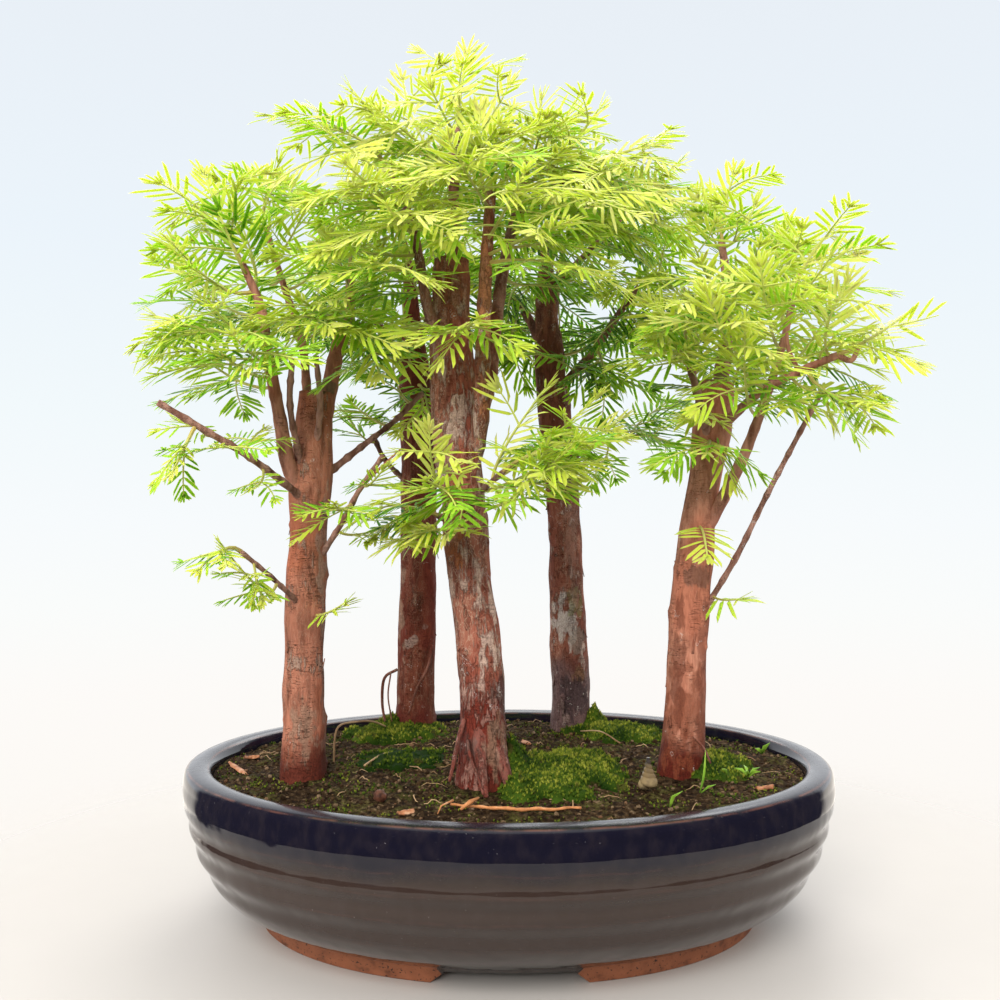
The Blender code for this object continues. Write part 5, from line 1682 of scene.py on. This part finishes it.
def makeMoss(values):
    finish = makeMossFinish(values)
    tuft = tuftTemplate()
    for pad in mossPads:
        makeCushion(pad, values, finish, tuft)

    # Stray tufts that creep over the soil
    draw = random.Random(values["seed"])
    strays = Scatter()
    while len(strays.origins) < values["strays"]:
        x, y = [draw.uniform(-half, half) for half in values["spread"]]
        patch = noise.noise(Vector((x, y, 8)) / 14.0) + 0.6 * noise.noise(Vector((x, y, 2)) / 4.0)
        near = min(math.hypot((x - pad[1]) / pad[3], (y - pad[2]) / pad[4]) for pad in mossPads)
        patch += 0.5 * max(0.0, 1.5 - near)
        if not insideSoil(x, y, 1.5) or patch < -0.05 + 0.5 * draw.random():
            continue
        size = draw.uniform(0.6, 1.2)
        spin = Matrix.Rotation(draw.uniform(0, math.tau), 3, "Z")
        axes = spin.col[0] * size, spin.col[1] * size, up * (size * 1.1)
        strays.add((x, y, soilHeight(x, y) - 0.1), axes, draw.uniform(0.05, 0.6))
    mesh = stampMesh(tuft, strays)
    setTone(mesh, tuftTones(tuft, strays))
    makePiece("stray_moss", mesh, [finish])


# What lies and grows on the soil
litter = {
    "seed": 21, "fibres": 95, "spread": (112, 82), "fibreLength": (3.0, 13.0),
    "fibreRadius": (0.10, 0.24),
    "rootLoops": [([(-56, 48, 65), (-61, 32, 71), (-66, 14, 74.5), (-70.5, 0, 76), (-72, -4, 73),
                    (-72.3, -5, 67), (-72.4, -5, 60)], 0.45),
                  ([(-58, -18, 63.5), (-54, -7, 64.4), (-50.9, 4, 63.6)], 0.45),
                  ([(34, 45, 64), (42, 32, 66.5), (49.3, 20, 64)], 0.3)],
    "twig": [(-21, -67), (-4, -71), (10, -72), (25, -70)], "twigRadius": 0.62,
    "twigColour": (0.50, 0.20, 0.07),
    "splinters": [  # what lies across the twig: points, radii, sides
        ([(-17, -75, 62.6), (-14, -70, 63.6), (-11, -66, 64.0)], [0.5, 0.9, 0.4], 6),
        ([(-25, -75, 61.0), (-24, -71, 62.6), (-20, -67, 63.4)], [0.2, 0.3, 0.45], 5)],
    "chips": [  # chips of bark: x, y, length, width, turn
        (-111, -9, 24, 2.6, -1.02), (-109, 6, 6, 3.0, 0.2), (-36, -74, 6, 4.0, 0.5),
        (58, -78, 5, 2.0, 1.1), (66, -82, 9, 2.4, 0.1), (8, 20, 7, 3.0, 2.0), (97, -40, 8, 2.6, 0.4)],
    "cone": (-47, -57.5), "coneRadius": 2.3,
    "shell": (52, -46), "shellHeight": 11.5, "shellRadius": 3.3, "shellTurns": 5.5, "shellSteps": 150,
    "shellColour": (0.17, 0.115, 0.055),
    "blades": [  # grass and a fallen leaf: root, middle, tip, width
        ((70, -52, 62), (71.5, -52, 69), (72.5, -50, 77), 0.9),
        ((70.5, -52, 62), (73, -53, 64.5), (75.5, -54, 65.5), 0.9),
        ((84, -33, 63), (83, -36, 66), (81, -39, 67.5), 1.3),
        ((56, -70, 62), (57, -71, 66), (60, -72, 68), 1.3),
        ((110, 14, 61), (111, 13, 64), (113, 12, 66), 1.9),
        ((110, 14, 61), (108, 12, 63), (106, 10, 64), 1.7)],
    "rosette": (92, -35), "rosetteLeaves": 5,
}


def plainFinish(name, colours, roughness, scale, bump=0.4, stretchBy=1.0):
    made, tree, shader = newMaterial(name, roughness)
    colour = ramp(grain(tree, scale, stretchBy, 5.0), colours)
    cover(shader, colour, grain(tree, scale * 3, stretchBy, 3.0), bump, 0.0005)
    return made


def makeFibres(values):
    # Fine roots and straw
    draw = random.Random(values["seed"])
    bm = bmesh.new()
    for _ in range(values["fibres"]):
        x, y = [draw.uniform(-half, half) for half in values["spread"]]
        if not insideSoil(x, y, 6.0):
            continue
        heading = draw.uniform(0, math.tau)
        length = draw.uniform(*values["fibreLength"])
        points = []
        for index in range(6):
            heading += draw.uniform(-0.3, 0.3)
            lift = 0.35 + draw.uniform(0.0, 1.2) * math.sin(index * 0.63)
            points.append((x, y, soilHeight(x, y) + lift))
            x += math.cos(heading) * length / 5
            y += math.sin(heading) * length / 5
        thick = draw.uniform(*values["fibreRadius"])
        addTube(bm, points, [thick * share for share in (1.0, 1.0, 1.0, 1.0, 0.8, 0.5)], 4)
    for points, thick in values["rootLoops"]:
        line = smoothLine(points, 2.0)
        addTube(bm, line, [thick] * len(line), 6)
    straw = plainFinish("dryStraw", [(0.3, (0.20, 0.10, 0.045)), (0.6, (0.42, 0.27, 0.14))], 0.7, 70.0)
    makePiece("fine_roots", bm, [straw])


def makeTwig(values):
    # The fallen twig, with short splinters across it
    bm = bmesh.new()
    thick = values["twigRadius"]
    line = smoothLine([(x, y, ground(x, y) + 0.45 + thick) for x, y in values["twig"]], 1.5)
    count = len(line)
    radii = [thick * (0.55 + 0.5 * math.sin(math.pi * (index + 3) / (count + 6)))
             * (1 + 0.16 * math.sin(index * 1.9)) for index in range(count)]
    wavy = [Vector(point) + Vector((0, 0.3 * math.sin(index * 0.7), 0.15 * math.cos(index * 0.9)))
            for index, point in enumerate(line)]
    addTube(bm, wavy, radii, 10)
    for points, radii, sides in values["splinters"]:
        addTube(bm, points, radii, sides)
    colour = values["twigColour"]
    finish = plainFinish("orangeTwig", [(0.3, shaded(colour, 0.55)), (0.55, colour),
                                        (0.75, (0.66, 0.42, 0.25))], 0.6, 300.0)
    makePiece("orange_twig", bm, [finish], ["fallen_twig"])


def makeChips(values):
    bm = bmesh.new()
    for x, y, length, width, turn in values["chips"]:
        made = bmesh.ops.create_grid(bm, x_segments=8, y_segments=3, size=0.5)["verts"]
        for vertex in made:
            u, v = vertex.co.x, vertex.co.y
            edge = 1.0 - 0.5 * abs(2 * u) ** 3 + 0.25 * noise.noise(Vector((u * 7, x, 0)))
            place = Matrix.Rotation(turn, 3, "Z") @ Vector((u * length, v * width * edge, 0))
            lift = 0.9 + 0.8 * math.cos(v * 3) + 0.5 * noise.noise(Vector((u * 5, v * 3, x)))
            vertex.co = place + Vector((x, y, soilHeight(x, y) + lift))
    thicken(bm, 0.5)
    finish = plainFinish("barkChip", [(0.3, (0.12, 0.045, 0.02)), (0.5, (0.36, 0.14, 0.06)),
                                      (0.75, (0.50, 0.30, 0.18))], 0.7, 260.0)
    makePiece("bark_chips", bm, [finish], smooth=False)


def makeCone(values):
    # A small dark cone, closed and dry
    x, y = values["cone"]
    bm = bmesh.new()
    bmesh.ops.create_icosphere(bm, subdivisions=3, radius=values["coneRadius"])
    for vertex in bm.verts:
        vertex.co *= 1.0 + 0.3 * noise.noise(vertex.co / 0.9)
        vertex.co += Vector((x, y, soilHeight(x, y) + 1.3))
    finish = plainFinish("darkCone", [(0.3, (0.03, 0.013, 0.009)), (0.7, (0.15, 0.055, 0.03))], 0.6, 420.0)
    makePiece("fallen_cone", bm, [finish])


def makeShell(values):
    # The snail shell: a coil that widens on its way down
    x, y = values["shell"]
    wide, steps = values["shellRadius"], values["shellSteps"]
    base = ground(x, y) + 0.6
    points, radii = [], []
    for index in range(steps + 1):
        share = index / steps
        grow = share ** 1.25
        out = outwards(share * values["shellTurns"] * math.tau) * (wide * 0.40 * grow)
        points.append(Vector((x, y, base + values["shellHeight"] * (1 - share) * 0.86 + 1.5)) + out)
        radii.append(wide * (0.20 + 0.56 * grow))
    bm = bmesh.new()
    addTube(bm, points, radii, 14)
    made, tree, shader = newMaterial("hornShell", 0.14)
    height = heightAbove(tree)
    # The lower whorls are paler: partly the shell's own colour, partly a painted highlight; the tip is
    # darker
    body = blend(mask(height, base + 5.5, base + 1.0), values["shellColour"], (0.38, 0.28, 0.14))
    body = blend(mask(height, base + 7.5, base + 10.5), body, (0.035, 0.03, 0.03))
    mottle = mask(grain(tree, 500.0), 0.35, 0.7)
    body = blend(times(mottle, 0.45), body, (0.07, 0.05, 0.035))
    cover(shader, body, grain(tree, 1400.0, 0.2), 0.3, 0.0003)
    makePiece("horn_shell", bm, [made], ["snail_shell"])


def addBlade(bm, root, middle, tip, width):
    line = smoothLine([root, middle, tip], 2.5)
    count = len(line) - 1
    made = bmesh.ops.create_grid(bm, x_segments=count, y_segments=2, size=1.0)["verts"]
    forward = Vector(tip) - Vector(root)
    across = forward.cross(Vector((0.2, -1, 0.3))).normalized()
    fold = across.cross(forward).normalized()
    for vertex in made:
        index = round((vertex.co.x + 1) / 2 * count)
        wide = width * math.sin(math.pi * (0.12 + 0.86 * index / count)) ** 0.7
        side = vertex.co.y
        vertex.co = Vector(line[index]) + across * side * wide / 2 + fold * abs(side) * wide * 0.2


def makeSeedlings(values):
    # Blades of grass, a fallen leaf and a small rosette
    bm = bmesh.new()
    for blade in values["blades"]:
        addBlade(bm, *blade)
    x, y = values["rosette"]
    for number in range(values["rosetteLeaves"]):
        out = outwards(number * 1.26 + 0.4)
        addBlade(bm, (x, y, 63.5), Vector((x, y, 66)) + out * 2.4, Vector((x, y, 66.5)) + out * 5.4, 1.3)
    thicken(bm, 0.22)
    finish = plainFinish("youngLeaf", [(0.3, (0.10, 0.22, 0.02)), (0.6, (0.20, 0.35, 0.03)),
                                       (0.8, (0.36, 0.46, 0.08))], 0.5, 160.0, 0.2)
    makePiece("seedlings", bm, [finish])


def finishScreens():
    # The two drain screens stay as packed and get their own plastic
    plastic = plainFinish("blackPlasticMesh", [(0.3, (0.018, 0.018, 0.018)), (0.7, (0.035, 0.035, 0.035))],
                          0.5, 300.0, 0.2)
    for name in ("drain_screen_left", "drain_screen_right"):
        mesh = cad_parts[name].data
        mesh.materials.clear()
        mesh.materials.append(plastic)


makeStudio(studio)
print("studio ready")
makePot(pot)
finishScreens()
print("pot ready")
makeSoil(soil)
makeGrains(soil)
makeMoss(moss)
print("soil and moss ready")
for makePart in (makeFibres, makeTwig, makeChips, makeCone, makeShell, makeSeedlings):
    makePart(litter)
print("litter ready")
flakeShape = flakeTemplate()
for treeName in trees:
    makeTree(treeName, flakeShape)
print("wood ready")
needleShape = needleTemplate()
needleFinish = makeNeedleFinish(needle)
stemFinish = makeStemFinish(needle)
makeSprays()
print("sprays ready")
makeCrowns(crowns)
print("crowns ready")

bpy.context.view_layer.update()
triangles = sum(len(face.vertices) - 2 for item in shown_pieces() if item.type == "MESH"
                for face in item.data.polygons)
print("triangles", triangles)
